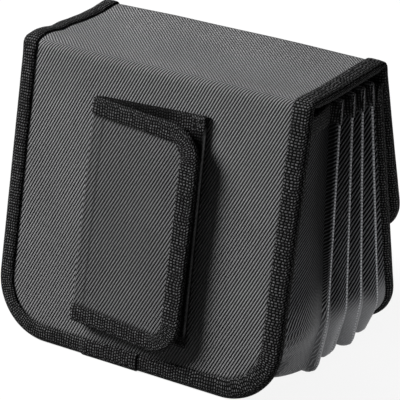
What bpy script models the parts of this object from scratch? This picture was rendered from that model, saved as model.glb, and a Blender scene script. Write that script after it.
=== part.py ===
# Accordion case for slot-in lens filters.
# One run of cloth makes the back, the top and the front flap. Its edges are bound with folded tape.
# Five pleated gussets and four dividers make the pockets between the back and the front panel.
# The case stands on the bound feet of the back and the front panel. Rear is -Y, up is +Z.

import bpy
import bmesh
from math import atan, atan2, ceil, cos, pi, radians, sin, sqrt, tan
from mathutils import Matrix, Vector

# Overall size, over the bound edges
CASE_WIDTH = 0.178
CASE_HEIGHT = 0.160
TOP_DEPTH = 0.0775
BACK_LEAN = radians(9.95)

# Front panel: it hides under the lid, with its foot pulled forward
FRONT_DROP = 0.010
FRONT_SETBACK = 0.0032
FRONT_LEAN = radians(11.8)

# Flap, hanging from the front of the top panel
FLAP_LENGTH = 0.112
FLAP_LEAN = radians(16.0)

# Rounded lower corners, measured at the outer edge
BACK_CORNER = 0.033
FRONT_CORNER = 0.027
FLAP_CORNER = 0.025
DIVIDER_CORNER = 0.020

# Layers of a panel, from outside to inside, and the tape that binds the edge
COVER_CLOTH = 0.0008
WALL_STIFFENER = 0.0016
LID_STIFFENER = 0.0012
LINING_CLOTH = 0.0006
TAPE = 0.0007
TAPE_FACE = 0.009
GAP = 0.0003

# Folds between back, top and flap, at the outer face of the tape
FOLD_RADIUS = 0.007
FOLD_STRIP = 0.0020

# Dividers and their gussets. Each share is a step from one divider to the next, as a part of
# the way from the back panel to the front panel, at the mouth and on the ground.
DIVIDER_SHEET = 0.0008
DIVIDER_DROP = 0.0075
DIVIDER_FOOT_CLEARANCE = 0.0025
DIVIDER_HEM = 0.012
DIVIDER_HEM_SIDE_CLEARANCE = 0.005
RIDGE_INSET = 0.0005
MOUTH_SHARES = (0.4105, 0.1655, 0.1373, 0.1252)
FOOT_SHARES = (0.4076, 0.1608, 0.1271, 0.1496)
GUSSET_CLOTH = 0.0008
FIRST_GUSSET_VALLEY = 0.80
FIRST_GUSSET_MOUTH_DEPTH = 0.011
FIRST_GUSSET_FOOT_DEPTH = 0.005
GUSSET_VALLEY = 0.50
GUSSET_MOUTH_DEPTH = 0.015
GUSSET_FOOT_DEPTH = 0.011
GUSSET_BOW_SHARE = 0.06

# Wrap strap on the back: a base leaf sewn flat and an outer leaf folded over it
STRAP_FOLD_X = -0.0335
STRAP_EDGE_X = 0.0310
STRAP_TOP = 0.0175
STRAP_FOOT = 0.0215
STRAP_CLOTH = 0.0012
STRAP_LEAF_CORNER = 0.020
STRAP_TAPE_FACE = 0.009

# Hook and loop fastener patches
FASTENER = 0.0012
FASTENER_CORNER = 0.002
STRAP_FASTENER_MARGIN = 0.003
LID_FASTENER_WIDTH = 0.100
LID_FASTENER_HEIGHT = 0.025
LID_FASTENER_EDGE = 0.012

# Facets
CORNER_STEPS = 8
FOLD_STEPS = 8
NOSE_STEP = radians(30)
SHORTEST_NOSE_STEP = radians(4)
LEG_STEPS = 3
SIDE_STEPS = 4
SMOOTH_ANGLE = radians(35)

TWILL = ("woven twill", (0.105, 0.108, 0.112), 0.78)
WEBBING = ("ribbed tape", (0.018, 0.018, 0.020), 0.85)
NYLON = ("lining cloth", (0.050, 0.051, 0.054), 0.75)
FOAM = ("stiffener sheet", (0.080, 0.080, 0.082), 0.90)
HOOKS = ("hook fastener", (0.012, 0.012, 0.013), 0.60)
LOOPS = ("loop fastener", (0.020, 0.020, 0.021), 0.95)

SKIN = TAPE + GAP
WALL_CORE = COVER_CLOTH + GAP + WALL_STIFFENER + GAP + LINING_CLOTH
LID_CORE = COVER_CLOTH + GAP + LID_STIFFENER + GAP + LINING_CLOTH
WALL_THICKNESS = WALL_CORE + 2 * SKIN
LID_THICKNESS = LID_CORE + 2 * SKIN
HEM_THICKNESS = DIVIDER_SHEET + 2 * SKIN
STRAP_THICKNESS = STRAP_CLOTH + 2 * SKIN


def material(finish):
    name, colour, roughness = finish
    found = bpy.data.materials.get(name)
    if found:
        return found
    made = bpy.data.materials.new(name)
    made.use_nodes = True
    shader = made.node_tree.nodes["Principled BSDF"]
    shader.inputs["Base Color"].default_value = (*colour, 1)
    shader.inputs["Roughness"].default_value = roughness
    shader.inputs["Metallic"].default_value = 0.0
    return made


def empty(name, parent, location=(0, 0, 0), rotation=(0, 0, 0)):
    made = bpy.data.objects.new(name, None)
    made.location = location
    made.rotation_euler = rotation
    made.parent = parent
    bpy.context.scene.collection.objects.link(made)
    return made


def add_part(name, shape, finish, parent):
    bmesh.ops.recalc_face_normals(shape, faces=shape.faces)
    mesh = bpy.data.meshes.new(name)
    shape.to_mesh(mesh)
    shape.free()
    mesh.shade_smooth()
    mesh.set_sharp_from_angle(angle=SMOOTH_ANGLE)
    mesh.materials.append(material(finish))
    made = bpy.data.objects.new(name, mesh)
    made.parent = parent
    bpy.context.scene.collection.objects.link(made)
    return made


def edge_path(corners, radii=None):
    """Stations along a bound edge: a point, and the way in from the edge, for each.

    The cloth lies to the right of the path. A corner with a radius becomes an arc,
    and one without becomes a mitre, whose way in is lengthened to suit."""
    radii = radii or [0] * len(corners)
    corners = [Vector(c) for c in corners]
    ways = [(b - a).normalized() for a, b in zip(corners, corners[1:])]
    inward = [Vector((w.y, -w.x)) for w in ways]
    stations = [(corners[0], inward[0])]
    for corner, radius, before, after, way in zip(
        corners[1:-1], radii[1:-1], inward, inward[1:], ways
    ):
        if radius == 0:
            stations.append((corner, (before + after) / (1 + before.dot(after))))
            continue
        turn = atan2(before.x * after.y - before.y * after.x, before.dot(after))
        centre = corner - way * radius * tan(abs(turn) / 2) + before * radius
        for step in range(CORNER_STEPS + 1):
            way_in = Matrix.Rotation(turn * step / CORNER_STEPS, 2) @ before
            stations.append((centre - way_in * radius, way_in))
    stations.append((corners[-1], inward[-1]))
    return stations


def tongue_path(width, start, length, radius):
    """The bound edge of a panel: down one side, round the foot, up the other."""
    half = width / 2
    corners = [(-half, start), (-half, length), (half, length), (half, start)]
    return edge_path(corners, [0, radius, radius, 0])


def inset(stations, distance):
    return [point + way_in * distance for point, way_in in stations]


def prism(outline, low, high):
    """An outline in the panel's plane, extruded from low to high along its normal."""
    shape = bmesh.new()
    face = shape.faces.new([shape.verts.new((p[0], p[1], low)) for p in outline])
    grown = bmesh.ops.extrude_face_region(shape, geom=[face])["geom"]
    tops = [item for item in grown if isinstance(item, bmesh.types.BMVert)]
    bmesh.ops.translate(shape, vec=(0, 0, high - low), verts=tops)
    return shape


def loft(rings):
    """A closed body through rings of points that have the same count and order."""
    shape = bmesh.new()
    face = shape.faces.new([shape.verts.new(point) for point in rings[0]])
    for number, ring in enumerate(rings[1:]):
        grown = bmesh.ops.extrude_face_region(shape, geom=[face])["geom"]
        if number > 0:
            bmesh.ops.delete(shape, geom=[face], context="FACES_ONLY")
        face = next(item for item in grown if isinstance(item, bmesh.types.BMFace))
        for vert, point in zip(face.verts, ring):
            vert.co = point
    return shape


def sweep(stations, profile):
    """A profile of (way in, height) points carried along the stations of an edge."""
    rings = []
    for point, way_in in stations:
        rings.append([(*(point + way_in * depth), height) for depth, height in profile])
    return loft(rings)


def bend(profile, radius, start, turn, steps):
    """A profile of (along the fold, height) points turned about an axis along X.

    Height 0 is at the radius. The turn runs from start, both measured from +Y."""
    rings = []
    for step in range(steps + 1):
        angle = start + turn * step / steps
        rings.append([
            (along, (radius + height) * cos(angle), (radius + height) * sin(angle))
            for along, height in profile
        ])
    return loft(rings)


def tape_profile(thickness, face, lean=0.0):
    """Section of the folded tape: a rounded nose at depth 0 and two legs of length face.

    Height 0 is the middle of the panel. One facet of the nose is level with the ground
    when the panel leans by lean, so that the case stands on flat strips."""
    half = thickness / 2
    quarter = pi / 2
    steps = ceil(pi / NOSE_STEP)
    facets = [NOSE_STEP * (step + 1 / 2) - lean for step in range(steps, -steps - 2, -1)]
    turned = [angle for angle in facets if abs(angle) < quarter - SHORTEST_NOSE_STEP]
    outer = [(half - half * cos(a), half * sin(a)) for a in [quarter] + turned + [-quarter]]
    inner_radius = half - TAPE
    inner = []
    for step in range(steps + 1):
        angle = -quarter + pi * step / steps
        inner.append((half - inner_radius * cos(angle), inner_radius * sin(angle)))
    legs = [(face, -half), (face, -inner_radius)]
    return [(face, half)] + outer + legs + inner + [(face, inner_radius)]


def shifted(profile, height):
    return [(depth, z + height) for depth, z in profile]


def rectangle(x_low, x_high, y_low, y_high, radius):
    corners = [(x_low, y_low), (x_low, y_high), (x_high, y_high), (x_high, y_low)]
    middle = ((x_low + x_high) / 2, y_low)
    loop = edge_path([middle] + corners + [middle], [0] + [radius] * 4 + [0])
    return inset(loop[:-1], 0)


def panel_length(top, thickness, lean):
    """Length of a leaning panel whose bound foot just touches the ground.

    top is the height of its outer face at the upper end."""
    half = thickness / 2
    nose = half * cos(NOSE_STEP / 2)
    return half + (top - half * sin(lean) - nose) / cos(lean)


def panel_layers(name, outline, stiffener, parent):
    """Cover cloth, stiffener and lining of one panel, each in its own layer."""
    top = -SKIN
    layers = (
        ("cover", COVER_CLOTH, TWILL),
        ("stiffener", stiffener, FOAM),
        ("lining", LINING_CLOTH, NYLON),
    )
    for layer, thickness, finish in layers:
        add_part(f"{name}_{layer}", prism(outline, top - thickness, top), finish, parent)
        top -= thickness + GAP


# Each panel's frame has Y running from its upper end to its free end and Z pointing out of the case.

def fold_reach(turn):
    """Distance from the fold line to the flat part of a panel beside it."""
    return FOLD_RADIUS * tan(turn / 2)


def fold_axis(turn):
    """Centre of a fold's arc and its middle line, seen from the fold line.

    Each is (distance along the panel before the fold, depth under its outer face)."""
    reach = fold_reach(turn)
    middle = FOLD_RADIUS - SKIN - FOLD_STRIP / 2
    corner = sqrt(reach ** 2 + FOLD_RADIUS ** 2)
    share = 1 - middle / corner
    return (reach, FOLD_RADIUS), (reach * share, FOLD_RADIUS * share)


REAR_TURN = pi / 2 - BACK_LEAN
FRONT_TURN = pi / 2 - FLAP_LEAN
BACK_LENGTH = panel_length(CASE_HEIGHT, WALL_THICKNESS, BACK_LEAN)
FRONT_TOP = CASE_HEIGHT - FRONT_DROP
FRONT_TOP_Y = TOP_DEPTH - FRONT_SETBACK
FRONT_LENGTH = panel_length(FRONT_TOP, WALL_THICKNESS, FRONT_LEAN)


def back_point(along, depth):
    """World Y and Z of a point on the back panel, by its place along and under the outer face."""
    return (
        -along * sin(BACK_LEAN) + depth * cos(BACK_LEAN),
        CASE_HEIGHT - along * cos(BACK_LEAN) - depth * sin(BACK_LEAN),
    )


def add_folds(rear_hinge, front_hinge):
    """The two soft bends of the cover cloth and the tape that binds their ends."""
    strip_half = CASE_WIDTH / 2 - LID_THICKNESS / 2
    trim = GAP / FOLD_RADIUS
    folds = (
        ("rear_fold", rear_hinge, REAR_TURN, pi / 2),
        ("front_fold", front_hinge, FRONT_TURN, pi / 2 - FRONT_TURN),
    )
    for name, hinge, turn, start in folds:
        centre, axis = fold_axis(turn)
        if name == "rear_fold":
            centre_y = centre[0] - axis[0]
        else:
            centre_y = axis[0] - centre[0]
        place = Matrix.Translation((0, centre_y, axis[1] - centre[1]))
        outer = -SKIN
        strip = [
            (-strip_half, outer - FOLD_STRIP),
            (strip_half, outer - FOLD_STRIP),
            (strip_half, outer),
            (-strip_half, outer),
        ]
        span = turn - 2 * trim
        shape = bend(strip, FOLD_RADIUS, start + trim, span, FOLD_STEPS)
        shape.transform(place)
        add_part(name, shape, TWILL, hinge)
        profile = shifted(tape_profile(LID_THICKNESS, TAPE_FACE), -LID_THICKNESS / 2)
        for side, sign in (("left", -1), ("right", 1)):
            ends = [(sign * (CASE_WIDTH / 2 - depth), height) for depth, height in profile]
            shape = bend(ends, FOLD_RADIUS, start + trim, span, FOLD_STEPS)
            shape.transform(place)
            add_part(f"{name}_binding_{side}", shape, WEBBING, hinge)


def add_back(frame):
    start = fold_reach(REAR_TURN) + GAP
    stations = tongue_path(CASE_WIDTH, start, BACK_LENGTH, BACK_CORNER)
    panel_layers("back", inset(stations, WALL_THICKNESS / 2), WALL_STIFFENER, frame)
    profile = shifted(tape_profile(WALL_THICKNESS, TAPE_FACE, BACK_LEAN), -WALL_THICKNESS / 2)
    add_part("back_binding", sweep(stations, profile), WEBBING, frame)


def add_top(frame):
    start = fold_reach(REAR_TURN) + GAP
    end = TOP_DEPTH - fold_reach(FRONT_TURN) - GAP
    half = CASE_WIDTH / 2
    left = edge_path([(-half, start), (-half, end)])
    right = edge_path([(half, end), (half, start)])
    panel_layers("top", inset(left + right, LID_THICKNESS / 2), LID_STIFFENER, frame)
    profile = shifted(tape_profile(LID_THICKNESS, TAPE_FACE), -LID_THICKNESS / 2)
    add_part("top_binding_left", sweep(left, profile), WEBBING, frame)
    add_part("top_binding_right", sweep(right, profile), WEBBING, frame)


def add_flap(frame):
    start = fold_reach(FRONT_TURN) + GAP
    stations = tongue_path(CASE_WIDTH, start, FLAP_LENGTH, FLAP_CORNER)
    panel_layers("flap", inset(stations, LID_THICKNESS / 2), LID_STIFFENER, frame)
    profile = shifted(tape_profile(LID_THICKNESS, TAPE_FACE), -LID_THICKNESS / 2)
    add_part("flap_binding", sweep(stations, profile), WEBBING, frame)
    low = FLAP_LENGTH - TAPE_FACE - LID_FASTENER_EDGE
    patch = rectangle(
        -LID_FASTENER_WIDTH / 2, LID_FASTENER_WIDTH / 2, low - LID_FASTENER_HEIGHT, low, FASTENER_CORNER
    )
    inner = -SKIN - LID_CORE - GAP
    add_part("flap_hook_patch", prism(patch, inner - FASTENER, inner), HOOKS, frame)


def add_front(frame):
    half = CASE_WIDTH / 2
    start = TAPE_FACE + GAP
    stations = tongue_path(CASE_WIDTH, start, FRONT_LENGTH, FRONT_CORNER)
    middle = WALL_THICKNESS / 2
    layers = tongue_path(CASE_WIDTH, 0, FRONT_LENGTH, FRONT_CORNER)
    outline = inset(layers[1:-1], middle)
    outline = [Vector((-half + middle, middle))] + outline + [Vector((half - middle, middle))]
    panel_layers("front", outline, WALL_STIFFENER, frame)
    profile = shifted(tape_profile(WALL_THICKNESS, TAPE_FACE, FRONT_LEAN), -middle)
    add_part("front_binding", sweep(stations, profile), WEBBING, frame)
    profile = shifted(tape_profile(WALL_THICKNESS, TAPE_FACE), -middle)
    across = edge_path([(half, 0), (-half, 0)])
    add_part("front_top_binding", sweep(across, profile), WEBBING, frame)
    drop = (CASE_HEIGHT - FRONT_TOP) / cos(FRONT_LEAN)
    low = FLAP_LENGTH - TAPE_FACE - LID_FASTENER_EDGE - drop
    patch = rectangle(
        -LID_FASTENER_WIDTH / 2, LID_FASTENER_WIDTH / 2, low - LID_FASTENER_HEIGHT, low, FASTENER_CORNER
    )
    outer = -SKIN + GAP
    add_part("front_loop_patch", prism(patch, outer, outer + FASTENER), LOOPS, frame)


def add_divider(number, frame, length):
    width = CASE_WIDTH - 2 * RIDGE_INSET
    sheet = tongue_path(width, SKIN, length, DIVIDER_CORNER)
    half = DIVIDER_SHEET / 2
    add_part(f"divider_{number}", prism(inset(sheet, GAP), -half, half), NYLON, frame)
    reach = width / 2 - DIVIDER_HEM_SIDE_CLEARANCE
    across = edge_path([(reach, 0), (-reach, 0)])
    profile = tape_profile(HEM_THICKNESS, DIVIDER_HEM)
    shape = sweep(across, [(depth - HEM_THICKNESS / 2 + SKIN, height) for depth, height in profile])
    add_part(f"divider_{number}_binding", shape, WEBBING, frame)


def divided_sides(stations):
    """The same edge, with its two straight sides cut into steps."""
    def steps(a, b):
        return [
            (a[0].lerp(b[0], step / SIDE_STEPS), a[1])
            for step in range(SIDE_STEPS)
        ]
    down = steps(stations[0], stations[1])
    up = [(point, way) for point, way in reversed(steps(stations[-1], stations[-2]))]
    return down + stations[1:-1] + up


def edge_in_world(frame, stations, depth, height, mirrored=False):
    """World points and outward ways of an edge, at a depth in from it and a height."""
    if mirrored:
        stations = list(reversed(stations))
    turn = frame.to_3x3()
    found = []
    for point, way_in in divided_sides(stations):
        place = point + way_in * depth
        found.append((frame @ Vector((*place, height)), turn @ -Vector((*way_in, 0))))
    return found


def thickened(line, thickness):
    """A closed section round an open line, with mitred turns."""
    ways = [(b - a).normalized() for a, b in zip(line, line[1:])]
    normals = [Vector((-w.y, w.x)) for w in ways]
    joints = [normals[0]]
    joints += [(a + b) / (1 + a.dot(b)) for a, b in zip(normals, normals[1:])]
    joints.append(normals[-1])
    upper = [p + n * thickness / 2 for p, n in zip(line, joints)]
    lower = [p - n * thickness / 2 for p, n in zip(line, joints)]
    return upper + lower[::-1]


def leg(start, end, bow):
    """One side of a pleat, bowed outward between its two ends."""
    way = end - start
    out = Vector((-way.y, way.x)).normalized()
    return [
        start.lerp(end, step / LEG_STEPS) + out * bow * sin(pi * step / LEG_STEPS)
        for step in range(LEG_STEPS + 1)
    ]


def pleat_rings(near, far, forward, valley, mouth_depth, foot_depth):
    """Sections of one pleat along the edges of the two panels that it joins.

    Each section runs from the near edge in to the valley and out to the far edge.
    forward is the way from panel to panel, square to the middle plane between them."""
    rings = []
    high = near[0][0].z
    for (a, out_a), (b, out_b) in zip(near, far):
        span = (b - a).dot(forward)
        out = out_a + out_b
        out = (out - forward * out.dot(forward)).normalized()
        step_out = (b - a).dot(out)
        rest = (b - a) - forward * span - out * step_out
        down = min(1.0, (high - a.z) / (high - DIVIDER_CORNER))
        depth = mouth_depth + (foot_depth - mouth_depth) * down
        fold = Vector((valley * span, valley * step_out - depth))
        end = Vector((span, step_out))
        bow = GUSSET_BOW_SHARE * span
        line = leg(Vector((0, 0)), fold, bow)[:-1] + leg(fold, end, bow)
        section = thickened(line, GUSSET_CLOTH)
        rings.append([a + forward * p.x + out * p.y + rest * (p.x / span) for p in section])
    return rings


def strap_heights():
    """Heights of the middle of the strap's base and of its leaf over the back panel's frame."""
    base = -SKIN + GAP + STRAP_THICKNESS / 2
    closed_patches = STRAP_CLOTH + 3 * GAP + 2 * FASTENER
    return base, base + closed_patches


def add_strap(frame, fold):
    """Base leaf and its tape on the back, and the outer leaf with the fold between them."""
    fold_x = -STRAP_FOLD_X
    edge_x = -STRAP_EDGE_X
    low = BACK_LENGTH - STRAP_FOOT
    path = [(fold_x, STRAP_TOP), (edge_x, STRAP_TOP), (edge_x, low), (fold_x, low)]
    square = edge_path(path)
    rounded = edge_path(path, [0, STRAP_LEAF_CORNER, STRAP_LEAF_CORNER, 0])
    half = STRAP_THICKNESS / 2
    base, leaf = strap_heights()
    profile = tape_profile(STRAP_THICKNESS, STRAP_TAPE_FACE)
    cloth = STRAP_CLOTH / 2
    margin = STRAP_TAPE_FACE + STRAP_FASTENER_MARGIN

    add_part("strap_base", prism(inset(square, half), base - cloth, base + cloth), TWILL, frame)
    add_part("strap_base_binding", sweep(square, shifted(profile, base)), WEBBING, frame)
    patch = rectangle(
        edge_x + margin, fold_x - margin, STRAP_TOP + margin, low - margin, FASTENER_CORNER
    )
    face = base + cloth + GAP
    add_part("strap_loop_patch", prism(patch, face, face + FASTENER), LOOPS, frame)

    middle = (base + leaf) / 2
    to_hinge = Matrix.Translation((-fold_x, 0, -middle))
    pieces = (
        ("strap_leaf", prism(inset(rounded, half), leaf - cloth, leaf + cloth), TWILL),
        ("strap_leaf_binding", sweep(rounded, shifted(profile, leaf)), WEBBING),
        ("strap_hook_patch", prism(patch, leaf - cloth - GAP - FASTENER, leaf - cloth - GAP), HOOKS),
    )
    for name, shape, finish in pieces:
        shape.transform(to_hinge)
        add_part(name, shape, finish, fold)

    radius = (leaf - base) / 2
    trim = GAP / radius
    turn = pi - 2 * trim
    strip = [
        (STRAP_TOP + half, -cloth),
        (low - half, -cloth),
        (low - half, cloth),
        (STRAP_TOP + half, cloth),
    ]
    ends = [(STRAP_TOP + depth, height) for depth, height in profile]
    feet = [(low - depth, height) for depth, height in profile]
    upright = Matrix(((0, 1, 0, 0), (1, 0, 0, 0), (0, 0, 1, 0), (0, 0, 0, 1)))
    for name, section, finish in (
        ("strap_fold", strip, TWILL),
        ("strap_fold_binding_top", ends, WEBBING),
        ("strap_fold_binding_bottom", feet, WEBBING),
    ):
        shape = bend(section, radius, trim - pi / 2, turn, FOLD_STEPS)
        shape.transform(upright)
        add_part(name, shape, finish, fold)


def across(near_lean, far_lean):
    """The way forward, square to the plane midway between two leaning panels."""
    lean = (near_lean + far_lean) / 2
    return Vector((0, cos(lean), sin(lean)))


def panel_frame(location, lean, heading=0):
    turn = Matrix.Rotation(heading, 4, "Z")
    return Matrix.Translation(location) @ turn @ Matrix.Rotation(lean - pi / 2, 4, "X")


def build():
    for old in list(bpy.data.objects):
        bpy.data.objects.remove(old, do_unlink=True)

    case = empty("case", None)
    back = empty("back_frame", case, (0, 0, CASE_HEIGHT), (BACK_LEAN - pi / 2, 0, pi))

    rear_axis = fold_axis(REAR_TURN)[1]
    rear_y, rear_z = back_point(*rear_axis)
    rear_hinge = empty("rear_hinge", case, (0, rear_y, rear_z))
    top = empty("top_frame", rear_hinge, (0, -rear_y, CASE_HEIGHT - rear_z))
    front_axis = fold_axis(FRONT_TURN)[1]
    front_hinge = empty("front_hinge", top, (0, TOP_DEPTH - front_axis[0], -front_axis[1]))
    flap = empty("flap_frame", front_hinge, (0, front_axis[0], front_axis[1]), (FLAP_LEAN - pi / 2, 0, 0))

    add_back(back)
    add_folds(rear_hinge, front_hinge)
    add_top(top)
    add_flap(flap)

    strap_fold = empty("strap_hinge", back, (-STRAP_FOLD_X, 0, sum(strap_heights()) / 2))
    add_strap(back, strap_fold)

    mouth = CASE_HEIGHT - DIVIDER_DROP
    foot = DIVIDER_FOOT_CLEARANCE
    mouth_y = 0.0
    foot_y = -CASE_HEIGHT * tan(BACK_LEAN)
    foot_span = FRONT_TOP_Y + FRONT_TOP * tan(FRONT_LEAN) - foot_y
    width = CASE_WIDTH - 2 * RIDGE_INSET
    seat = DIVIDER_SHEET / 2 + GAP + GUSSET_CLOTH / 2
    wall_seat = -WALL_THICKNESS - GAP - GUSSET_CLOTH / 2
    wall_edge = WALL_THICKNESS / 2 + GAP

    back_start = DIVIDER_DROP / cos(BACK_LEAN)
    back_world = panel_frame((0, 0, CASE_HEIGHT), BACK_LEAN, pi)
    stations = tongue_path(CASE_WIDTH, back_start, BACK_LENGTH, BACK_CORNER)
    near = edge_in_world(back_world, stations, wall_edge, wall_seat, mirrored=True)

    carrier = case
    carrier_at = Vector((0, 0, 0))
    near_lean = -BACK_LEAN
    for number, (mouth_share, foot_share) in enumerate(zip(MOUTH_SHARES, FOOT_SHARES), 1):
        mouth_y += FRONT_TOP_Y * mouth_share
        foot_y += foot_span * foot_share
        lean = atan((foot_y - mouth_y) / (mouth - foot))
        length = (mouth - foot) / cos(lean)
        place = Vector((0, mouth_y, mouth))
        body = empty(f"divider_{number}_slide", carrier, place - carrier_at)
        frame = empty(f"divider_{number}_frame", body, (0, 0, 0), (lean - pi / 2, 0, 0))
        add_divider(number, frame, length)
        world = panel_frame(place, lean)
        edge = tongue_path(width, 0, length, DIVIDER_CORNER)
        far = edge_in_world(world, edge, 0, -seat)
        if number == 1:
            fold = (FIRST_GUSSET_VALLEY, FIRST_GUSSET_MOUTH_DEPTH, FIRST_GUSSET_FOOT_DEPTH)
        else:
            fold = (GUSSET_VALLEY, GUSSET_MOUTH_DEPTH, GUSSET_FOOT_DEPTH)
        shape = loft(pleat_rings(near, far, across(near_lean, lean), *fold))
        shape.transform(Matrix.Translation(-place))
        add_part(f"gusset_{number}", shape, TWILL, body)
        near = edge_in_world(world, edge, 0, seat)
        near_lean = lean
        carrier = body
        carrier_at = place

    place = Vector((0, FRONT_TOP_Y, FRONT_TOP))
    body = empty("front_slide", carrier, place - carrier_at)
    front = empty("front_frame", body, (0, 0, 0), (FRONT_LEAN - pi / 2, 0, 0))
    add_front(front)
    world = panel_frame(place, FRONT_LEAN)
    edge = tongue_path(CASE_WIDTH, GAP, FRONT_LENGTH, FRONT_CORNER)
    far = edge_in_world(world, edge, wall_edge, wall_seat)
    fold = (GUSSET_VALLEY, GUSSET_MOUTH_DEPTH, GUSSET_FOOT_DEPTH)
    shape = loft(pleat_rings(near, far, across(near_lean, FRONT_LEAN), *fold))
    shape.transform(Matrix.Translation(-place))
    add_part(f"gusset_{len(MOUTH_SHARES) + 1}", shape, TWILL, body)

    centre_case(case)


def centre_case(case):
    """Moves the case so that the middle of its footprint box is at Y 0."""
    bpy.context.view_layer.update()
    ys = []
    for item in bpy.data.objects:
        if item.type == "MESH":
            ys += [(item.matrix_world @ vert.co).y for vert in item.data.vertices]
    case.location.y = -(min(ys) + max(ys)) / 2
    bpy.context.view_layer.update()


build()
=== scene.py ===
from math import atan, atan2, cos, pi, radians, sin, tan

import bpy
import numpy as np
from mathutils import Matrix, Vector


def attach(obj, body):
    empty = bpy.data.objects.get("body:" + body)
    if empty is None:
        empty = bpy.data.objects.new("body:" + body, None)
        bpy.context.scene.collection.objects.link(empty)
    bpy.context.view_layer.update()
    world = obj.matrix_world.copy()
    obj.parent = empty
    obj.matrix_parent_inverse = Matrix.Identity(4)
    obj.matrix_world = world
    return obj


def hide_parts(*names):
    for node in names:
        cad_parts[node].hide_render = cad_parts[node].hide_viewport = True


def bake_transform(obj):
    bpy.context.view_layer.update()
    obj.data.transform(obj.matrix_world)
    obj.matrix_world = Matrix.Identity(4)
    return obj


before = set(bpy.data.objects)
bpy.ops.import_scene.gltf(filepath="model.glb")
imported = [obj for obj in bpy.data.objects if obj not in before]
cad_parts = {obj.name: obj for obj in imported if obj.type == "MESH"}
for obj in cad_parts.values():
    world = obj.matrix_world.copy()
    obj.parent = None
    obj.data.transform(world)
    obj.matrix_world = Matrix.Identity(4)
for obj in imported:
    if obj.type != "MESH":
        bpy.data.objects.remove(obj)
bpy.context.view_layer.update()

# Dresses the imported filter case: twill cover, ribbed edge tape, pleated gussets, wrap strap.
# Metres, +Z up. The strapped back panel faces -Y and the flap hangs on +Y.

print("frame loaded")


# Places: flat cloth coordinates to the standing case

run = {                      # back, top and flap are one run of cloth, at the tape's outer face
    "width": 0.178,
    "height": 0.160,
    "topDepth": 0.0775,
    "backLength": 0.162006,
    "flapLength": 0.112,
    "backLean": radians(9.95),
    "flapLean": radians(16.0),
    "foldRadius": 0.0042,
    "foldLineY": -0.038421,
    "backCorner": 0.033,
    "flapCorner": 0.025,
    "wall": 0.0056,          # thickness of the back and front panels over their tape
    "lid": 0.0052,           # thickness of the top and the flap over their tape
    "foldThickness": 0.0037,
    "foldEase": 0.006,
    "layStart": 0.002,       # the lid's look sets in just past the start of each fold
    "layFull": 0.004,
    "wideFace": 0.0022,      # extra width of the outer tape face at the right
    "wideFaceOver": 0.085,
    # the lid's left edge is wavy: millimetres past the rear fold, and the rise in millimetres there
    "leftWave": (
        (0, 0), (5, 0.3), (12, 1.2), (19, 1.1), (26, -0.3), (33, 0.1),
        (42, -0.8), (54, -1.5), (65, -1.4), (74, -0.3), (82, 0),
    ),
    "waveBlur": 17,          # half millimetres over which the wave is softened
    "waveX": (-0.030, -0.085),       # the wave sets in between these places across the lid
    "rearRise": 0.0006,
    "rearRiseAt": 12,        # millimetres past the rear fold
    "rearRiseWidth": 8,
    "frontRise": 0.0017,     # the lid is fuller towards the flap
    "frontRiseStart": 0.005,
    "frontRiseEnd": 0.050,
}
frontPanel = {
    "drop": 0.010,           # its upper edge lies this far under the lid
    "setback": 0.0032,
    "lean": radians(11.8),
    "length": 0.152690,
    "corner": 0.027,
    "overTape": 0.0010,      # the upper edge's tape goes over the ends of the side tape
    "topRise": 0.0004,
    "endTrim": 0.0006,
}
layers = {
    "skin": 0.0010,          # the cover and the lining lie this far inside the tape's faces
    "gap": 0.0003,
    "cover": 0.0008,
    "lining": 0.0006,
    "tape": 0.0007,
    "tapeFace": 0.009,       # width of one face of the folded tape
    "noseReach": 0.006,      # the tape's ribs lean over its nose, this far round
    "noseLean": 0.9,
}


def foldReach(turn):
    return run["foldRadius"] * tan(turn / 2)


rearTurn = pi / 2 - run["backLean"]
frontTurn = pi / 2 - run["flapLean"]
runMarks = np.cumsum([
    0.0,
    run["backLength"] - foldReach(rearTurn),
    run["foldRadius"] * rearTurn,
    run["topDepth"] - foldReach(rearTurn) - foldReach(frontTurn),
    run["foldRadius"] * frontTurn,
    run["flapLength"] - foldReach(frontTurn),
])
runSplit = (runMarks[2] + runMarks[3]) / 2      # the rear and the front half of the run meet here


def smooth(low, high, value):
    # eases from 0 at low to 1 at high, which may be the smaller of the two
    share = np.clip((value - low) / (high - low), 0, 1)
    return share * share * (3 - 2 * share)


def ripple(a, b, seed, size):
    # soft unevenness between -1 and 1 over cloth coordinates, in waves of about the given size
    made = np.random.default_rng(seed)
    count, total = 5, 0
    for _ in range(count):
        way = made.uniform(0, 2 * pi)
        pitch = size * made.uniform(0.7, 1.8)
        total = total + np.sin(2 * pi * (a * cos(way) + b * sin(way)) / pitch + made.uniform(0, 2 * pi))
    return total / count


def runAt(s):
    # the run seen from the side: Y, Z and heading at the distance s from the back's foot
    s = np.asarray(s, float)
    radius = run["foldRadius"]
    y = np.full(s.shape, run["foldLineY"] - run["backLength"] * sin(run["backLean"]))
    z = np.full(s.shape, run["height"] - run["backLength"] * cos(run["backLean"]))
    heading = np.full(s.shape, pi / 2 - run["backLean"])
    for number in range(5):
        part = np.clip(s - runMarks[number], 0, runMarks[number + 1] - runMarks[number])
        if number in (1, 3):      # the two folds
            after = heading - part / radius
            y = y + radius * (np.sin(heading) - np.sin(after))
            z = z + radius * (np.cos(after) - np.cos(heading))
            heading = after
        else:
            y = y + part * np.cos(heading)
            z = z + part * np.sin(heading)
    return y, z, heading


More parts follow.
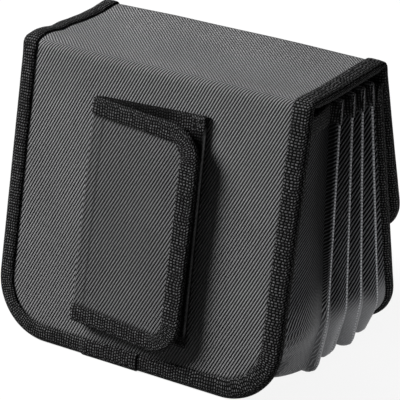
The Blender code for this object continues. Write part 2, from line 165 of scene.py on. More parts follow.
def runEase(x, s):
    # how far the lid's cloth stands up over its flat place
    past = 1000 * (s - runMarks[1])
    places, rises = np.array(run["leftWave"]).T
    fine = np.linspace(0, 90, 181)
    window = np.hanning(run["waveBlur"])
    blurred = np.convolve(np.interp(fine, places, rises), window / window.sum(), "same")
    wave = np.interp(past, fine, blurred) * 0.001 * smooth(*run["waveX"], x)
    rear = run["rearRise"] * np.exp(-((past - run["rearRiseAt"]) / run["rearRiseWidth"]) ** 2)
    sets = smooth(runMarks[2] + run["frontRiseStart"], runMarks[3], s)
    front = sets * smooth(runMarks[4] + run["frontRiseEnd"], runMarks[4], s)
    return wave + rear + run["frontRise"] * front


def onRun(x, s, h):
    # cloth coordinates to the case: x across, s along the run, h out from the tape's outer face
    y, z, heading = runAt(s)
    return np.stack([x + 0 * s, y - np.sin(heading) * h, z + np.cos(heading) * h + runEase(x, s)], axis=-1)


def onPanel(y, z, lean, side=1):
    # a flat panel: t is the distance down from its upper end, h is out of its outer face
    def place(x, t, h):
        return np.stack([
            x + 0 * t,
            y + side * (t * sin(lean) + h * cos(lean)) + 0 * x,
            z - t * cos(lean) + h * sin(lean) + 0 * x,
        ], axis=-1)
    return place


onBack = onPanel(run["foldLineY"], run["height"], run["backLean"], side=-1)
frontTopY = run["topDepth"] - frontPanel["setback"]
frontTopZ = run["height"] - frontPanel["drop"]
onFront = onPanel(run["foldLineY"] + frontTopY, frontTopZ, frontPanel["lean"])


def tongueEdge(x, t, width, corner):
    # distance in from the bound edge of a panel whose foot is at t 0
    side = np.abs(x) - (width / 2 - corner)
    foot = corner - t
    inCorner = (side > 0) & (foot > 0)
    return np.where(inCorner, corner - np.hypot(side, foot), np.minimum(corner - side, t))


def boundEdge(corners, radii, step=0.002):
    # stations along a bound edge, with the cloth to the right: point, way in, distance run
    corners = [Vector(corner) for corner in corners]
    ways = [(b - a).normalized() for a, b in zip(corners, corners[1:])]
    inward = [Vector((way.y, -way.x)) for way in ways]
    turns = [atan2(a.x * b.y - a.y * b.x, a.dot(b)) for a, b in zip(inward, inward[1:])]
    trims = [0] + [radius * tan(abs(turn) / 2) for radius, turn in zip(radii[1:-1], turns)] + [0]
    stations = []
    for number, way in enumerate(ways):
        a = corners[number] + way * trims[number]
        b = corners[number + 1] - way * trims[number + 1]
        count = max(1, round((b - a).length / step))
        first = 1 if stations and radii[number] == 0 else 0
        for part in range(first, count + 1):
            stations.append((a.lerp(b, part / count), inward[number]))
        if number == len(turns):
            break
        turn, radius = turns[number], radii[number + 1]
        if radius == 0:
            before, after = inward[number], inward[number + 1]
            stations[-1] = (b, (before + after) / (1 + before.dot(after)))
            continue
        centre = b + inward[number] * radius
        count = max(4, round(abs(turn) * radius / step))
        for part in range(1, count):
            wayIn = Matrix.Rotation(turn * part / count, 2) @ inward[number]
            stations.append((centre - wayIn * radius, wayIn))
    points = np.array([tuple(point) for point, _ in stations])
    wayIns = np.array([tuple(wayIn) for _, wayIn in stations])
    steps = np.hypot(*np.diff(points, axis=0).T)
    return points, wayIns, np.concatenate([[0], np.cumsum(steps)])


# Meshes and what their node trees share

def newPiece(name, points, faces, finish, weave=None, marks=None, sharp=45):
    mesh = bpy.data.meshes.new(name)
    mesh.from_pydata(points.tolist(), [], faces.tolist())
    corner = np.empty(len(mesh.loops), np.int32)
    mesh.loops.foreach_get("vertex_index", corner)
    if weave is not None:
        layer = mesh.uv_layers.new(name="weave")
        layer.data.foreach_set("uv", weave[corner].ravel())
    for mark, values in (marks or {}).items():
        mesh.attributes.new(mark, "FLOAT", "POINT").data.foreach_set("value", values.astype(np.float32))
    mesh.shade_smooth()
    mesh.set_sharp_from_angle(angle=radians(sharp))
    mesh.materials.append(finish)
    piece = bpy.data.objects.new(name, mesh)
    bpy.context.scene.collection.objects.link(piece)
    return piece


def closedCloth(name, outer, inner, weave, finish, marks=None, sharp=45):
    # a closed body between two grids of points, the outer face of the cloth and its inner one
    rows, columns = outer.shape[:2]
    top = np.arange(rows * columns).reshape(rows, columns)
    low = top + rows * columns

    def quads(*corners):
        return np.stack([corner.ravel() for corner in corners], axis=1)

    faces = np.concatenate([
        quads(top[:-1, :-1], top[:-1, 1:], top[1:, 1:], top[1:, :-1]),
        quads(low[:-1, :-1], low[1:, :-1], low[1:, 1:], low[:-1, 1:]),
        quads(top[:-1, 0], top[1:, 0], low[1:, 0], low[:-1, 0]),
        quads(top[:-1, -1], low[:-1, -1], low[1:, -1], top[1:, -1]),
        quads(top[0, :-1], low[0, :-1], low[0, 1:], top[0, 1:]),
        quads(top[-1, :-1], top[-1, 1:], low[-1, 1:], low[-1, :-1]),
    ])
    points = np.concatenate([outer.reshape(-1, 3), inner.reshape(-1, 3)])
    a, b, c, d = (points[faces[:, number]] for number in range(4))
    volume = np.sum(np.cross(c - a, d - b) * (a + b + c + d)) / 24
    if volume < 0:
        faces = faces[:, ::-1]
    weave = np.concatenate([weave.reshape(-1, 2)] * 2)
    marks = {mark: np.concatenate([values.ravel()] * 2) for mark, values in (marks or {}).items()}
    return newPiece(name, points, faces, finish, weave, marks, sharp)


def flatArea(outer):
    # area of one face of the cloth, the size that it was cut to
    a, b, c, d = outer[:-1, :-1], outer[:-1, 1:], outer[1:, 1:], outer[1:, :-1]
    return float(np.linalg.norm(np.cross(c - a, d - b), axis=-1).sum() / 2)


def asMesh(source, name):
    # the result of a modifier as a plain mesh of its own, and the source is taken away
    graph = bpy.context.evaluated_depsgraph_get()
    graph.update()
    shaped = source.evaluated_get(graph)
    mesh = bpy.data.meshes.new_from_object(shaped, preserve_all_data_layers=True, depsgraph=graph)
    bpy.data.objects.remove(source, do_unlink=True)
    mesh.name = name
    piece = bpy.data.objects.new(name, mesh)
    bpy.context.scene.collection.objects.link(piece)
    return piece


def markPoints(piece, mark, values):
    # a direction or a place kept on every point, for a node tree to read
    layer = piece.data.attributes.new(mark, "FLOAT_VECTOR", "POINT")
    layer.data.foreach_set("vector", values.astype(np.float32).ravel())


def setInputs(modifier, values):
    # a modifier's inputs are set by their identifiers, found here from their names
    for item in modifier.node_group.interface.items_tree:
        if item.item_type == "SOCKET" and item.in_out == "INPUT" and item.name in values:
            modifier[item.identifier] = values[item.name]


def addNode(tree, kind, links=(), **settings):
    # one node with its settings; links are pairs of input and source or plain value
    node = tree.nodes.new(kind)
    for name, value in settings.items():
        setattr(node, name, value)
    for socket, source in dict(links).items():
        if isinstance(source, bpy.types.NodeSocket):
            tree.links.new(source, node.inputs[socket])
        else:
            node.inputs[socket].default_value = source
    return node


def mathNode(tree, operation, *values):
    return addNode(tree, "ShaderNodeMath", dict(enumerate(values)), operation=operation).outputs[0]


def times(tree, a, b):
    return mathNode(tree, "MULTIPLY", a, b)


def vectorNode(tree, operation, *values, scale=None):
    links = dict(enumerate(values))
    if scale is not None:
        links["Scale"] = scale
    node = addNode(tree, "ShaderNodeVectorMath", links, operation=operation)
    return node.outputs["Value" if operation in ("LENGTH", "DOT_PRODUCT") else "Vector"]


def combined(tree, **parts):
    return addNode(tree, "ShaderNodeCombineXYZ", parts).outputs[0]


def ranged(tree, value, low, high, start=0.0, end=1.0, kind="LINEAR"):
    # a value carried from the range low to high over to the range start to end
    return addNode(tree, "ShaderNodeMapRange", {
        "Value": value, "From Min": low, "From Max": high, "To Min": start, "To Max": end,
    }, interpolation_type=kind).outputs["Result"]


def startTree(name, numbers, material):
    # a node tree for a mesh, with inputs for named numbers and one material
    tree = bpy.data.node_groups.new(name, "GeometryNodeTree")
    face = tree.interface
    face.new_socket("Geometry", in_out="INPUT", socket_type="NodeSocketGeometry")
    for number in numbers:
        face.new_socket(number, in_out="INPUT", socket_type="NodeSocketFloat")
    face.new_socket(material, in_out="INPUT", socket_type="NodeSocketMaterial")
    face.new_socket("Geometry", in_out="OUTPUT", socket_type="NodeSocketGeometry")
    return tree, addNode(tree, "NodeGroupInput").outputs


def endTree(tree, geometry, material):
    real = addNode(tree, "GeometryNodeRealizeInstances", {"Geometry": geometry}).outputs["Geometry"]
    links = {"Geometry": real, "Material": material}
    done = addNode(tree, "GeometryNodeSetMaterial", links).outputs["Geometry"]
    addNode(tree, "NodeGroupOutput", {"Geometry": done})
    return tree


def stored(tree, name, kind="FLOAT_VECTOR"):
    # what newPiece or markPoints has kept on the points
    node = addNode(tree, "GeometryNodeInputNamedAttribute", {"Name": name}, data_type=kind)
    return node.outputs["Attribute"]


def laidOnPoints(tree, points, shape, first, second, scale=(1, 1, 1)):
    # a copy of the shape on every point; first and second are an axis and the stored way it lies along
    kind = "FunctionNodeAlignRotationToVector"
    turn = addNode(tree, kind, {"Vector": stored(tree, first[1])}, axis=first[0]).outputs["Rotation"]
    turn = addNode(tree, kind, {
        "Rotation": turn, "Vector": stored(tree, second[1]),
    }, axis=second[0], pivot_axis=first[0]).outputs["Rotation"]
    return addNode(tree, "GeometryNodeInstanceOnPoints", {
        "Points": points, "Instance": shape, "Rotation": turn, "Scale": scale,
    }).outputs["Instances"]


# Materials

def srgb(code):
    parts = [int(code[start:start + 2], 16) / 255 for start in (1, 3, 5)]
    return tuple(p / 12.92 if p <= 0.04045 else ((p + 0.055) / 1.055) ** 2.4 for p in parts) + (1.0,)


def startFinish(name, look):
    made = bpy.data.materials.new(name)
    made.use_nodes = True
    shader = made.node_tree.nodes["Principled BSDF"]
    shader.inputs["Roughness"].default_value = look["roughness"]
    shader.inputs["Specular IOR Level"].default_value = look["specular"]
    shader.inputs["Sheen Weight"].default_value = look["sheen"]
    return made, made.node_tree, shader


def endFinish(made, shader, colour, height, distance, strength=1.0):
    # the colour and the relief go to the shader
    tree = made.node_tree
    tree.links.new(colour, shader.inputs["Base Color"])
    bump = addNode(tree, "ShaderNodeBump", {"Height": height, "Distance": distance, "Strength": strength})
    tree.links.new(bump.outputs["Normal"], shader.inputs["Normal"])
    return made


def meshMark(tree, name):
    return addNode(tree, "ShaderNodeAttribute", attribute_name=name).outputs["Fac"]


def mixColour(tree, share, first, second):
    links = {"Factor": share, 6: first, 7: second}
    return addNode(tree, "ShaderNodeMix", links, data_type="RGBA").outputs[2]


def noise(tree, place, scale, detail, give="Fac", **more):
    links = {"Vector": place, "Scale": scale, "Detail": detail, **more}
    return addNode(tree, "ShaderNodeTexNoise", links).outputs[give]


def cellChance(tree, cell):
    # one random share for each whole cell of the weave
    whole = vectorNode(tree, "FLOOR", cell)
    return addNode(tree, "ShaderNodeTexWhiteNoise", {"Vector": whole}, noise_dimensions="2D").outputs["Value"]


def weavePlace(tree, look):
    # the place on the weave, and the same place shifted about a little so that no rib is quite straight
    place = addNode(tree, "ShaderNodeUVMap", uv_map="weave").outputs["UV"]
    shift = noise(tree, place, look["wanderScale"], 1.0, "Color")
    return place, vectorNode(tree, "MULTIPLY_ADD", shift, (look["wander"],) * 3, place)


def ribs(tree, place, lean, pitch):
    # height between 0 and 1 of parallel ribs that rise at the angle lean from the weave's first axis
    way = (sin(lean) / pitch, -cos(lean) / pitch, 0)
    turned = times(tree, vectorNode(tree, "DOT_PRODUCT", place, way), 2 * pi)
    return mathNode(tree, "MULTIPLY_ADD", mathNode(tree, "COSINE", turned), 0.5, 0.5)


def wovenTwill(name, look):
    # coated polyester twill, woven: steep parallel ribs with dark grooves and a dull silky shine
    made, tree, shader = startFinish(name, look)
    place, shift = weavePlace(tree, look)
    side = ribs(tree, shift, look["lean"], look["pitch"])
    top = ribs(tree, shift, look["topLean"], look["topPitch"])
    lay = meshMark(tree, "lay")
    height = addNode(tree, "ShaderNodeMix", {"Factor": lay, "A": side, "B": top}).outputs["Result"]
    filled = times(tree, lay, look["topFill"])
    rib = ranged(tree, height, look["groove"], look["crest"], filled, kind="SMOOTHSTEP")
    row = ribs(tree, shift, look["lean"] - pi / 2, look["thread"])      # each rib is a row of short floats
    floats = mathNode(tree, "MULTIPLY_ADD", row, look["floats"], 1 - look["floats"])
    tight = times(tree, meshMark(tree, "tight"), look["tightRelief"])
    relief = mathNode(tree, "MAXIMUM", times(tree, rib, floats), tight)
    speck = noise(tree, place, look["speckScale"], 2.0, Roughness=0.7)
    spread = ranged(tree, speck, 0.3, 0.7, 1 - look["speck"], 1 + look["speck"])
    cloud = noise(tree, place, look["cloudScale"], 2.0)
    patchy = ranged(tree, cloud, 0.3, 0.7, 1 - look["cloud"], 1 + look["cloud"])
    # painted shade: the seam mark darkens the colour beside the tape, in the pleats' creases, under the lid
    # and on the strap
    shaded = ranged(tree, meshMark(tree, "seam"), 0.0, 1.0, 1.0, look["paintedShadeLight"])
    lit = times(tree, times(tree, spread, patchy), shaded)
    colour = mixColour(tree, relief, srgb(look["grooveColour"]), srgb(look["ribColour"]))
    if look["footShine"]:
        low = times(tree, meshMark(tree, "low"), relief)
        shine = mathNode(tree, "MULTIPLY_ADD", low, look["footShine"], look["specular"])
        tree.links.new(shine, shader.inputs["Specular IOR Level"])
    return endFinish(made, shader, vectorNode(tree, "SCALE", colour, scale=lit), relief, look["relief"])


def ribbedTape(name, look):
    # polyester grosgrain, woven narrow: cords across the tape, with light floats in broken rows
    made, tree, shader = startFinish(name, look)
    place, shift = weavePlace(tree, look)
    row = vectorNode(tree, "MULTIPLY_ADD", shift, (1 / look["cord"], 0, 0), (0.5, 0, 0))
    slip = times(tree, cellChance(tree, row), look["slip"] * look["line"])
    shift = vectorNode(tree, "ADD", shift, combined(tree, Y=slip))
    cord = ranged(tree, ribs(tree, shift, pi / 2, look["cord"]), *look["cordEdge"], kind="SMOOTHSTEP")
    line = ranged(tree, ribs(tree, shift, 0, look["line"]), *look["lineEdge"], kind="SMOOTHSTEP")
    dash = times(tree, cord, line)
    cell = vectorNode(tree, "MULTIPLY_ADD", shift, (1 / look["cord"], 1 / look["line"], 0), (0.5, 0.5, 0))
    bright = ranged(tree, cellChance(tree, cell), 0.0, 1.0, look["dimFloat"], 1.0)
    fuzz = ranged(tree, noise(tree, place, look["fuzzScale"], 2.0), 0.3, 0.7, *look["fuzz"])
    light = times(tree, times(tree, dash, bright), fuzz)
    colour = mixColour(tree, light, srgb(look["grooveColour"]), srgb(look["floatColour"]))
    # the base's free edge is drawn paler, and painted shade darkens the tape where the leaf covers it
    colour = mixColour(tree, meshMark(tree, "rubbed"), colour, srgb(look["paleEdgeColour"]))
    underLeafShade = ranged(tree, meshMark(tree, "tucked"), 0.0, 1.0, 1.0, look["shadeUnderLeafLight"])
    return endFinish(made, shader, vectorNode(tree, "SCALE", colour, scale=underLeafShade), dash, look["relief"])


def plainWeave(name, look):
    # nylon lining, plain woven: a fine even grid that reads as smooth dark cloth with a slight shine
    made, tree, shader = startFinish(name, look)
    place = addNode(tree, "ShaderNodeUVMap", uv_map="weave").outputs["UV"]
    grid = times(tree, ribs(tree, place, 0, look["thread"]), ribs(tree, place, pi / 2, look["thread"]))
    mixed = mathNode(tree, "ADD", grid, noise(tree, place, look["cloudScale"], 3.0))
    share = ranged(tree, mixed, 0.3, 1.5)
    colour = mixColour(tree, share, srgb(look["darkColour"]), srgb(look["lightColour"]))
    return endFinish(made, shader, colour, grid, look["relief"], 0.7)


def grained(name, look):
    # a finish with an even random grain: foam cells, loop pile, hook tape or thread
    made, tree, shader = startFinish(name, look)
    place = addNode(tree, "ShaderNodeTexCoord").outputs["Object"]
    cells = addNode(tree, "ShaderNodeTexVoronoi", {"Vector": place, "Scale": 1 / look["grain"]})
    mixed = times(tree, cells.outputs["Distance"], noise(tree, place, 0.6 / look["grain"], 3.0))
    share = ranged(tree, mixed, 0.05, 0.45)
    colour = mixColour(tree, share, srgb(look["darkColour"]), srgb(look["lightColour"]))
    return endFinish(made, shader, colour, mixed, look["grain"] * 0.5, 0.8)


twillLook = {
    "ribColour": "#8c8c8d", "grooveColour": "#131314", "roughness": 0.55, "specular": 0.08, "sheen": 0.0,
    "lean": radians(63.3), "pitch": 0.00153,         # ribs measured on the back panel
    "topLean": radians(-44), "topPitch": 0.0014,     # the other diagonal, which shows on the lid
    "topFill": 0.3,          # the lid is seen along its ribs, so its grooves show less
    "thread": 0.0011,        # real floats are about 0.5 mm, drawn coarser so that they show
    "groove": 0.12, "crest": 0.75, "floats": 0.22, "relief": 0.0007,
    "tightRelief": 0.75,     # where the cloth is pulled tight its grooves close
    "wander": 0.00035, "wanderScale": 90.0, "speck": 0.2, "speckScale": 900.0,
    "cloud": 0.07, "cloudScale": 28.0, "paintedShadeLight": 0.12, "footShine": 0.0,
}
# partly painted shade: a darker copy of the twill for the shaded gussets, its grooves painted near black for
# light grazing the ribs
gussetLookPaintedShade = {
    **twillLook, "ribColour": "#7c7d80", "grooveColour": "#050506", "lean": radians(56.5), "pitch": 0.00154,
    "specular": 0.02, "footShine": 0.95,
    "groove": 0.30, "crest": 0.95,       # the thinner cloth opens over the folds, so the grooves are wide
}
# painted highlight: a pale copy of the gusset twill for the ridges, standing in for the light that the folded
# edges catch
ridgeLookPaintedHighlight = {
    **gussetLookPaintedShade, "ribColour": "#cccdd1", "grooveColour": "#8a8b8f", "lean": radians(40), "pitch": 0.0011,
    "groove": 0.1, "crest": 0.6, "floats": 0.1, "specular": 0.2, "footShine": 0.0,
}
# painted shade: a darker copy of the twill for the strap, whose leaf tilts away from the light
strapLookPaintedShade = {**twillLook, "ribColour": "#777778", "grooveColour": "#101011"}
tapeLook = {
    "floatColour": "#727273", "grooveColour": "#060606", "paleEdgeColour": "#e6e6e7",
    "roughness": 0.75, "specular": 0.05, "sheen": 0.0, "relief": 0.0004,
    "cord": 0.00155, "cordEdge": (0.22, 0.80), "line": 0.0015, "lineEdge": (0.05, 0.65), "slip": 0.55,
    "dimFloat": 0.35, "fuzz": (0.35, 1.35), "fuzzScale": 1400.0, "wander": 0.0012, "wanderScale": 160.0,
    "shadeUnderLeafLight": 0.2,
}
hemLook = {**tapeLook, "floatColour": "#a4a4a5", "cord": 0.0012, "line": 0.0016, "dimFloat": 0.3}
# partly painted light: a paler copy of the hem tape for the hem ends, which lie in the lid's shade
endLookPaintedLight = {**hemLook, "floatColour": "#efeff1", "grooveColour": "#6c6c6f", "dimFloat": 0.6}
liningLook = {
    "darkColour": "#1a1a1c", "lightColour": "#3a3a3d", "roughness": 0.5, "specular": 0.4, "sheen": 0.0,
    "thread": 0.0009, "cloudScale": 45.0, "relief": 0.0001,
}
foamLook = {
    "darkColour": "#2a2a2c", "lightColour": "#4c4c4f", "roughness": 0.9, "specular": 0.2, "sheen": 0.0,
    "grain": 0.0012,
}
loopLook = {
    "darkColour": "#0c0c0d", "lightColour": "#3a3a3c", "roughness": 0.95, "specular": 0.2, "sheen": 0.2,
    "grain": 0.0009,
}
hookLook = {
    "darkColour": "#101011", "lightColour": "#2c2c2e", "roughness": 0.45, "specular": 0.5, "sheen": 0.0,
    "grain": 0.0010,
}
threadLook = {
    "darkColour": "#0d0d0e", "lightColour": "#2b2b2d", "roughness": 0.6, "specular": 0.4, "sheen": 0.0,
    "grain": 0.0003,
}

twill = wovenTwill("woven polyester twill", twillLook)
gussetTwillPaintedShade = wovenTwill("woven polyester twill, gusset, painted shade", gussetLookPaintedShade)
ridgeTwillPaintedHighlight = wovenTwill("woven polyester twill, creased, painted highlight", ridgeLookPaintedHighlight)
strapTwillPaintedShade = wovenTwill("woven polyester twill, strap, painted shade", strapLookPaintedShade)
tape = ribbedTape("woven grosgrain tape", tapeLook)
hemTape = ribbedTape("woven grosgrain tape, narrow ribs", hemLook)
endTapePaintedLight = ribbedTape("woven grosgrain tape, ends, painted light", endLookPaintedLight)
liningCloth = plainWeave("woven nylon lining", liningLook)
foam = grained("closed cell foam sheet, skived", foamLook)
loopPile = grained("knitted loop pile", loopLook)
hookTape = grained("moulded hook tape", hookLook)
thread = grained("bonded nylon thread", threadLook)
print("materials made")


# Each piece hides the CAD nodes that it stands for, and is parented to its body or baked in place

def wear(piece, nodes, body=None, bend=None):
    # one call per piece: it hides the CAD nodes that it stands for and parents the piece to the body that it
    # moves with; a piece given a bend is only baked in place
    if nodes:
        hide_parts(*nodes)
    if bend:
        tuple(bend[2])
        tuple(bend[3])
        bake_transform(piece)
    else:
        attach(piece, body)


def runPoint(s):
    y, z, _ = runAt(s)
    return (0.0, float(y), float(z))


rearBend = ("back", "lid", runPoint(runMarks[1]), runPoint(runMarks[2]))
frontBend = ("lid", "flap", runPoint(runMarks[3]), runPoint(runMarks[4]))


# Cover, lining and tape of a bound panel

cover = {
    "edge": 0.0028,          # the cloth ends inside the tape's nose
    "puff": 0.0005,          # swell of the cloth between its bound edges
    "puffReach": 0.045,
    "frontPuffReach": 0.040,
    "uneven": 0.00012,
    "unevenSize": 0.05,
    "pull": 0.00022,         # the seam draws the cloth down along the tape
    "pullWidth": 0.0022,
    "seamShadowWidth": 0.0010,     # width of the painted shadow beside the tape
    "seamShadowFade": 0.7,
}
# columns of the cloth in millimetres from its edge, closer together beside the seam
edgeColumns = np.array([0, 3.4, 5.2, 5.8, 6.3, 6.8, 7.4, 8.0, 8.6, 9.2, 10, 12.5, 16]) / 1000
tapeShape = {
    "crown": 0.00038,        # each face of the tape is a little full
    "stitchAt": 0.6,         # the stitches press a groove into the face at this share of it
    "dip": 0.00016,
    "dipWidth": 0.1,
    "edgeTuck": 0.00038,     # the inner edge turns down on to the cloth
    "edgeInset": 0.0005,
    "legSteps": 9,
    "noseSteps": 11,
    "uneven": 0.00010,
    "unevenSize": 0.014,
    "wander": 0.00016,       # the inner edge isn't quite straight
    "wanderSize": 0.022,
    "wanderStart": 0.004,    # depth from the nose at which the wander sets in
    "wanderOver": 0.005,
}


def tongueGrid(width, corner, edge, length, rowStep=0.0025, middleColumns=30):
    # x and the distance from the foot over a panel with two round foot corners
    foot = corner - (corner - edge) * np.cos(np.linspace(0, pi / 2, 28))
    count = max(2, round((length - corner) / rowStep))
    t = np.concatenate([foot, np.linspace(corner, length, count + 1)[1:]])
    rise = np.clip(corner - t, 0, corner - edge)
    reach = width / 2 - corner + np.sqrt((corner - edge) ** 2 - rise ** 2)
    share = np.linspace(-1, 1, middleColumns + 2)[1:-1]
    left = -reach[:, None] + edgeColumns[None]
    middle = share[None] * (reach[:, None] - edgeColumns[-1])
    x = np.concatenate([left, middle, -left[:, ::-1]], axis=1)
    return x, np.repeat(t[:, None], x.shape[1], 1)


def paintedSeamShadow(edge):
    # painted shadow: how dark the cloth is painted beside a seam, by its distance from there
    return np.clip(1 - np.abs(edge) / cover["seamShadowWidth"], 0, 1) ** cover["seamShadowFade"]


def quilted(edge, reach):
    # how far the cloth swells over its flat place, away from the seam that draws it down
    puff = cover["puff"] * smooth(0, reach, edge)
    return puff - cover["pull"] * np.exp(-np.clip(edge, 0, None) / cover["pullWidth"])


def tapeProfile(thickness, face, cloth, crown=tapeShape["crown"]):
    # section of the folded tape, outer and inner line: inner edge, leg, nose, leg, inner edge
    half = thickness / 2
    legs = np.linspace(face, half, tapeShape["legSteps"])
    share = (face - legs) / max(face - half, 1e-6)
    dip = tapeShape["dip"] * np.exp(-((share - tapeShape["stitchAt"]) / tapeShape["dipWidth"]) ** 2)
    rise = crown * np.sin(pi * share) - dip
    rise[0], rise[1] = -tapeShape["edgeTuck"], 0.0
    legs[1] = face - tapeShape["edgeInset"]
    turn = np.linspace(pi / 2, -pi / 2, tapeShape["noseSteps"])[1:-1]
    outer = np.concatenate([
        np.stack([legs, half + rise], 1),
        np.stack([half - half * np.cos(turn), half * np.sin(turn)], 1),
        np.stack([legs[::-1], -half - rise[::-1]], 1),
    ])
    core = half - cloth
    flat = np.full(len(legs), core)
    inner = np.concatenate([
        np.stack([legs, flat], 1),
        np.stack([half - core * np.cos(turn), core * np.sin(turn)], 1),
        np.stack([legs[::-1], -flat], 1),
    ])
    return outer, inner


def wideFace(x):
    # the run's tape was folded off its middle at the right, so its outer face is wider there
    return run["wideFace"] * smooth(0.0, run["wideFaceOver"], x)


def sweepTape(name, edge, profile, place, middle, finish, seed=0, doubled=None, wider=None, marks=None):
    # the folded tape carried along a bound edge; doubled raises it where two ends overlap,
    # wider moves its inner edge further in, and marks gives where it is painted shade and where it is drawn
    # paler
    points, ways, along = edge
    outer, inner = profile
    steps = np.hypot(*np.diff(outer, axis=0).T)
    acrossTape = np.concatenate([[0], np.cumsum(steps)])
    normal = outer - inner
    normal = normal / np.linalg.norm(normal, axis=1, keepdims=True)
    rise = np.zeros(len(along)) if doubled is None else doubled(points)
    uneven = tapeShape["uneven"] * ripple(along, along * 0, seed + 7, tapeShape["unevenSize"])
    wander = tapeShape["wander"] * ripple(along, along * 0, seed + 11, tapeShape["wanderSize"])
    if wider is not None:
        wander = wander + wider(points[:, 0])
    leg = np.clip((outer[:, 0] - tapeShape["wanderStart"]) / tapeShape["wanderOver"], 0, 1)
    inward = (wander[:, None] + rise[:, None] * 0.5) * leg[None]
    outerDepth = outer[None, :, 0] + normal[None, :, 0] * rise[:, None] + inward
    outerHeight = outer[None, :, 1] + normal[None, :, 1] * (rise + uneven)[:, None]
    innerDepth = inner[None, :, 0] + inward
    innerHeight = inner[None, :, 1] + 0 * along[:, None]
    made = []
    for depth, height in ((outerDepth, outerHeight), (innerDepth, innerHeight)):
        a = points[:, None, 0] + ways[:, None, 0] * depth
        b = points[:, None, 1] + ways[:, None, 1] * depth
        made.append(place(a, b, middle + height))
    overNose = np.clip(acrossTape - acrossTape[tapeShape["legSteps"] - 1], 0, layers["noseReach"])
    leaning = along[:, None] + layers["noseLean"] * overNose[None]
    weave = np.stack(np.broadcast_arrays(leaning, acrossTape[None]), axis=-1)
    shaded = marks(points, outer) if marks else None
    return closedCloth(name, made[0], made[1], weave, finish, shaded, sharp=50)


def sheetOf(name, x, s, place, top, thickness, lift, finish, marks):
    # a sheet of cloth whose outer face lies at the height top and is lifted there, and that face's area
    outer = place(x, s, top + lift)
    inner = place(x, s, top - thickness + lift)
    piece = closedCloth(name, outer, inner, np.stack([x, s], -1), finish, marks)
    return piece, flatArea(outer)


runWidth = run["width"]
halfWidth = runWidth / 2
runEnd = runMarks[-1]


def runThickness(s):
    # the folds have no stiffener in them, so the run is thinner there
    level = run["wall"] + (run["lid"] - run["wall"]) * smooth(runMarks[1], runMarks[2], s)
    for low, high in ((runMarks[1], runMarks[2]), (runMarks[3], runMarks[4])):
        near = smooth(low - run["foldEase"], low, s) * smooth(high + run["foldEase"], high, s)
        level = level - (level - run["foldThickness"]) * near
    return level


def layOfRun(s):
    # 1 over the lid, where the cloth's other diagonal shows
    start, full = run["layStart"], run["layFull"]
    rise = smooth(runMarks[1] + start, runMarks[2] + full, s)
    return rise - smooth(runMarks[3] - full, runMarks[4] - start, s)


def runSheets(name, corner, length, toRun, seed, coverNodes, liningNodes, bend):
    # cover and lining of one half of the run; toRun takes the distance from its foot to that along the run
    x, t = tongueGrid(runWidth, corner, cover["edge"], length)
    s = toRun(t)
    edge = tongueEdge(x, t, runWidth, corner) - layers["tapeFace"] - wideFace(x)
    lift = quilted(edge, cover["puffReach"]) + cover["uneven"] * ripple(x, t, seed, cover["unevenSize"])
    # the seam mark is the painted shadow beside the tape
    marks = {"lay": layOfRun(s), "seam": paintedSeamShadow(edge)}
    piece, area = sheetOf(f"{name}Cover", x, s, onRun, -layers["skin"], layers["cover"], lift, twill, marks)
    wear(piece, coverNodes, bend=bend)
    low = -runThickness(s) + layers["skin"] + layers["lining"]
    marks = {"lay": layOfRun(s)}
    piece, area = sheetOf(f"{name}Lining", x, s, onRun, low, layers["lining"], 0 * x, liningCloth, marks)
    wear(piece, liningNodes, bend=bend)


runSheets(
    "rear", run["backCorner"], runSplit, lambda t: t, 11,
    ["back_cover", "rear_fold"], ["back_lining"], rearBend,
)
runSheets(
    "flap", run["flapCorner"], runEnd - runSplit, lambda t: runEnd - t, 12,
    ["top_cover", "front_fold", "flap_cover"], ["top_lining", "flap_lining"], frontBend,
)
print("cover and lining made")

lap = {      # where the ends of the back's tape overlap at its foot
    "right": 0.0048, "left": -0.0313, "rise": 0.00075, "jump": 0.00005,
    "easeOut": 0.001, "easeIn": 0.002, "foot": 0.001,
}


def lapRise(points):
    x, s = points.T
    inside = (s < lap["foot"]) & (x < lap["right"]) & (x > lap["left"])
    eased = smooth(lap["left"] - lap["easeOut"], lap["left"] + lap["easeIn"], x)
    return np.where(inside, lap["rise"], 0.0) * eased


def onRunTape(x, s, h):
    # the tape thins with what it binds
    return onRun(x, s, h * runThickness(s) / run["wall"])


boundProfile = tapeProfile(run["wall"], layers["tapeFace"], layers["tape"])
rearEdge = boundEdge([
    (halfWidth, runSplit), (halfWidth, 0), (lap["right"], 0), (lap["right"] - lap["jump"], 0),
    (-halfWidth, 0), (-halfWidth, runSplit),
], [0, run["backCorner"], 0, 0, run["backCorner"], 0])
piece = sweepTape(
    "rearTape", rearEdge, boundProfile, onRunTape, -run["wall"] / 2, tape, 3, doubled=lapRise, wider=wideFace,
)
wear(piece, [
    "back_binding", "rear_fold_binding_left", "rear_fold_binding_right",
    "top_binding_left", "top_binding_right",
], bend=rearBend)
flapEdge = boundEdge([
    (-halfWidth, runSplit), (-halfWidth, runEnd), (halfWidth, runEnd), (halfWidth, runSplit),
], [0, run["flapCorner"], run["flapCorner"], 0])
piece = sweepTape("flapTape", flapEdge, boundProfile, onRunTape, -run["wall"] / 2, tape, 4, wider=wideFace)
wear(piece, [
    "flap_binding", "front_fold_binding_left", "front_fold_binding_right",
], bend=frontBend)
print("edge tape made")


# Front panel

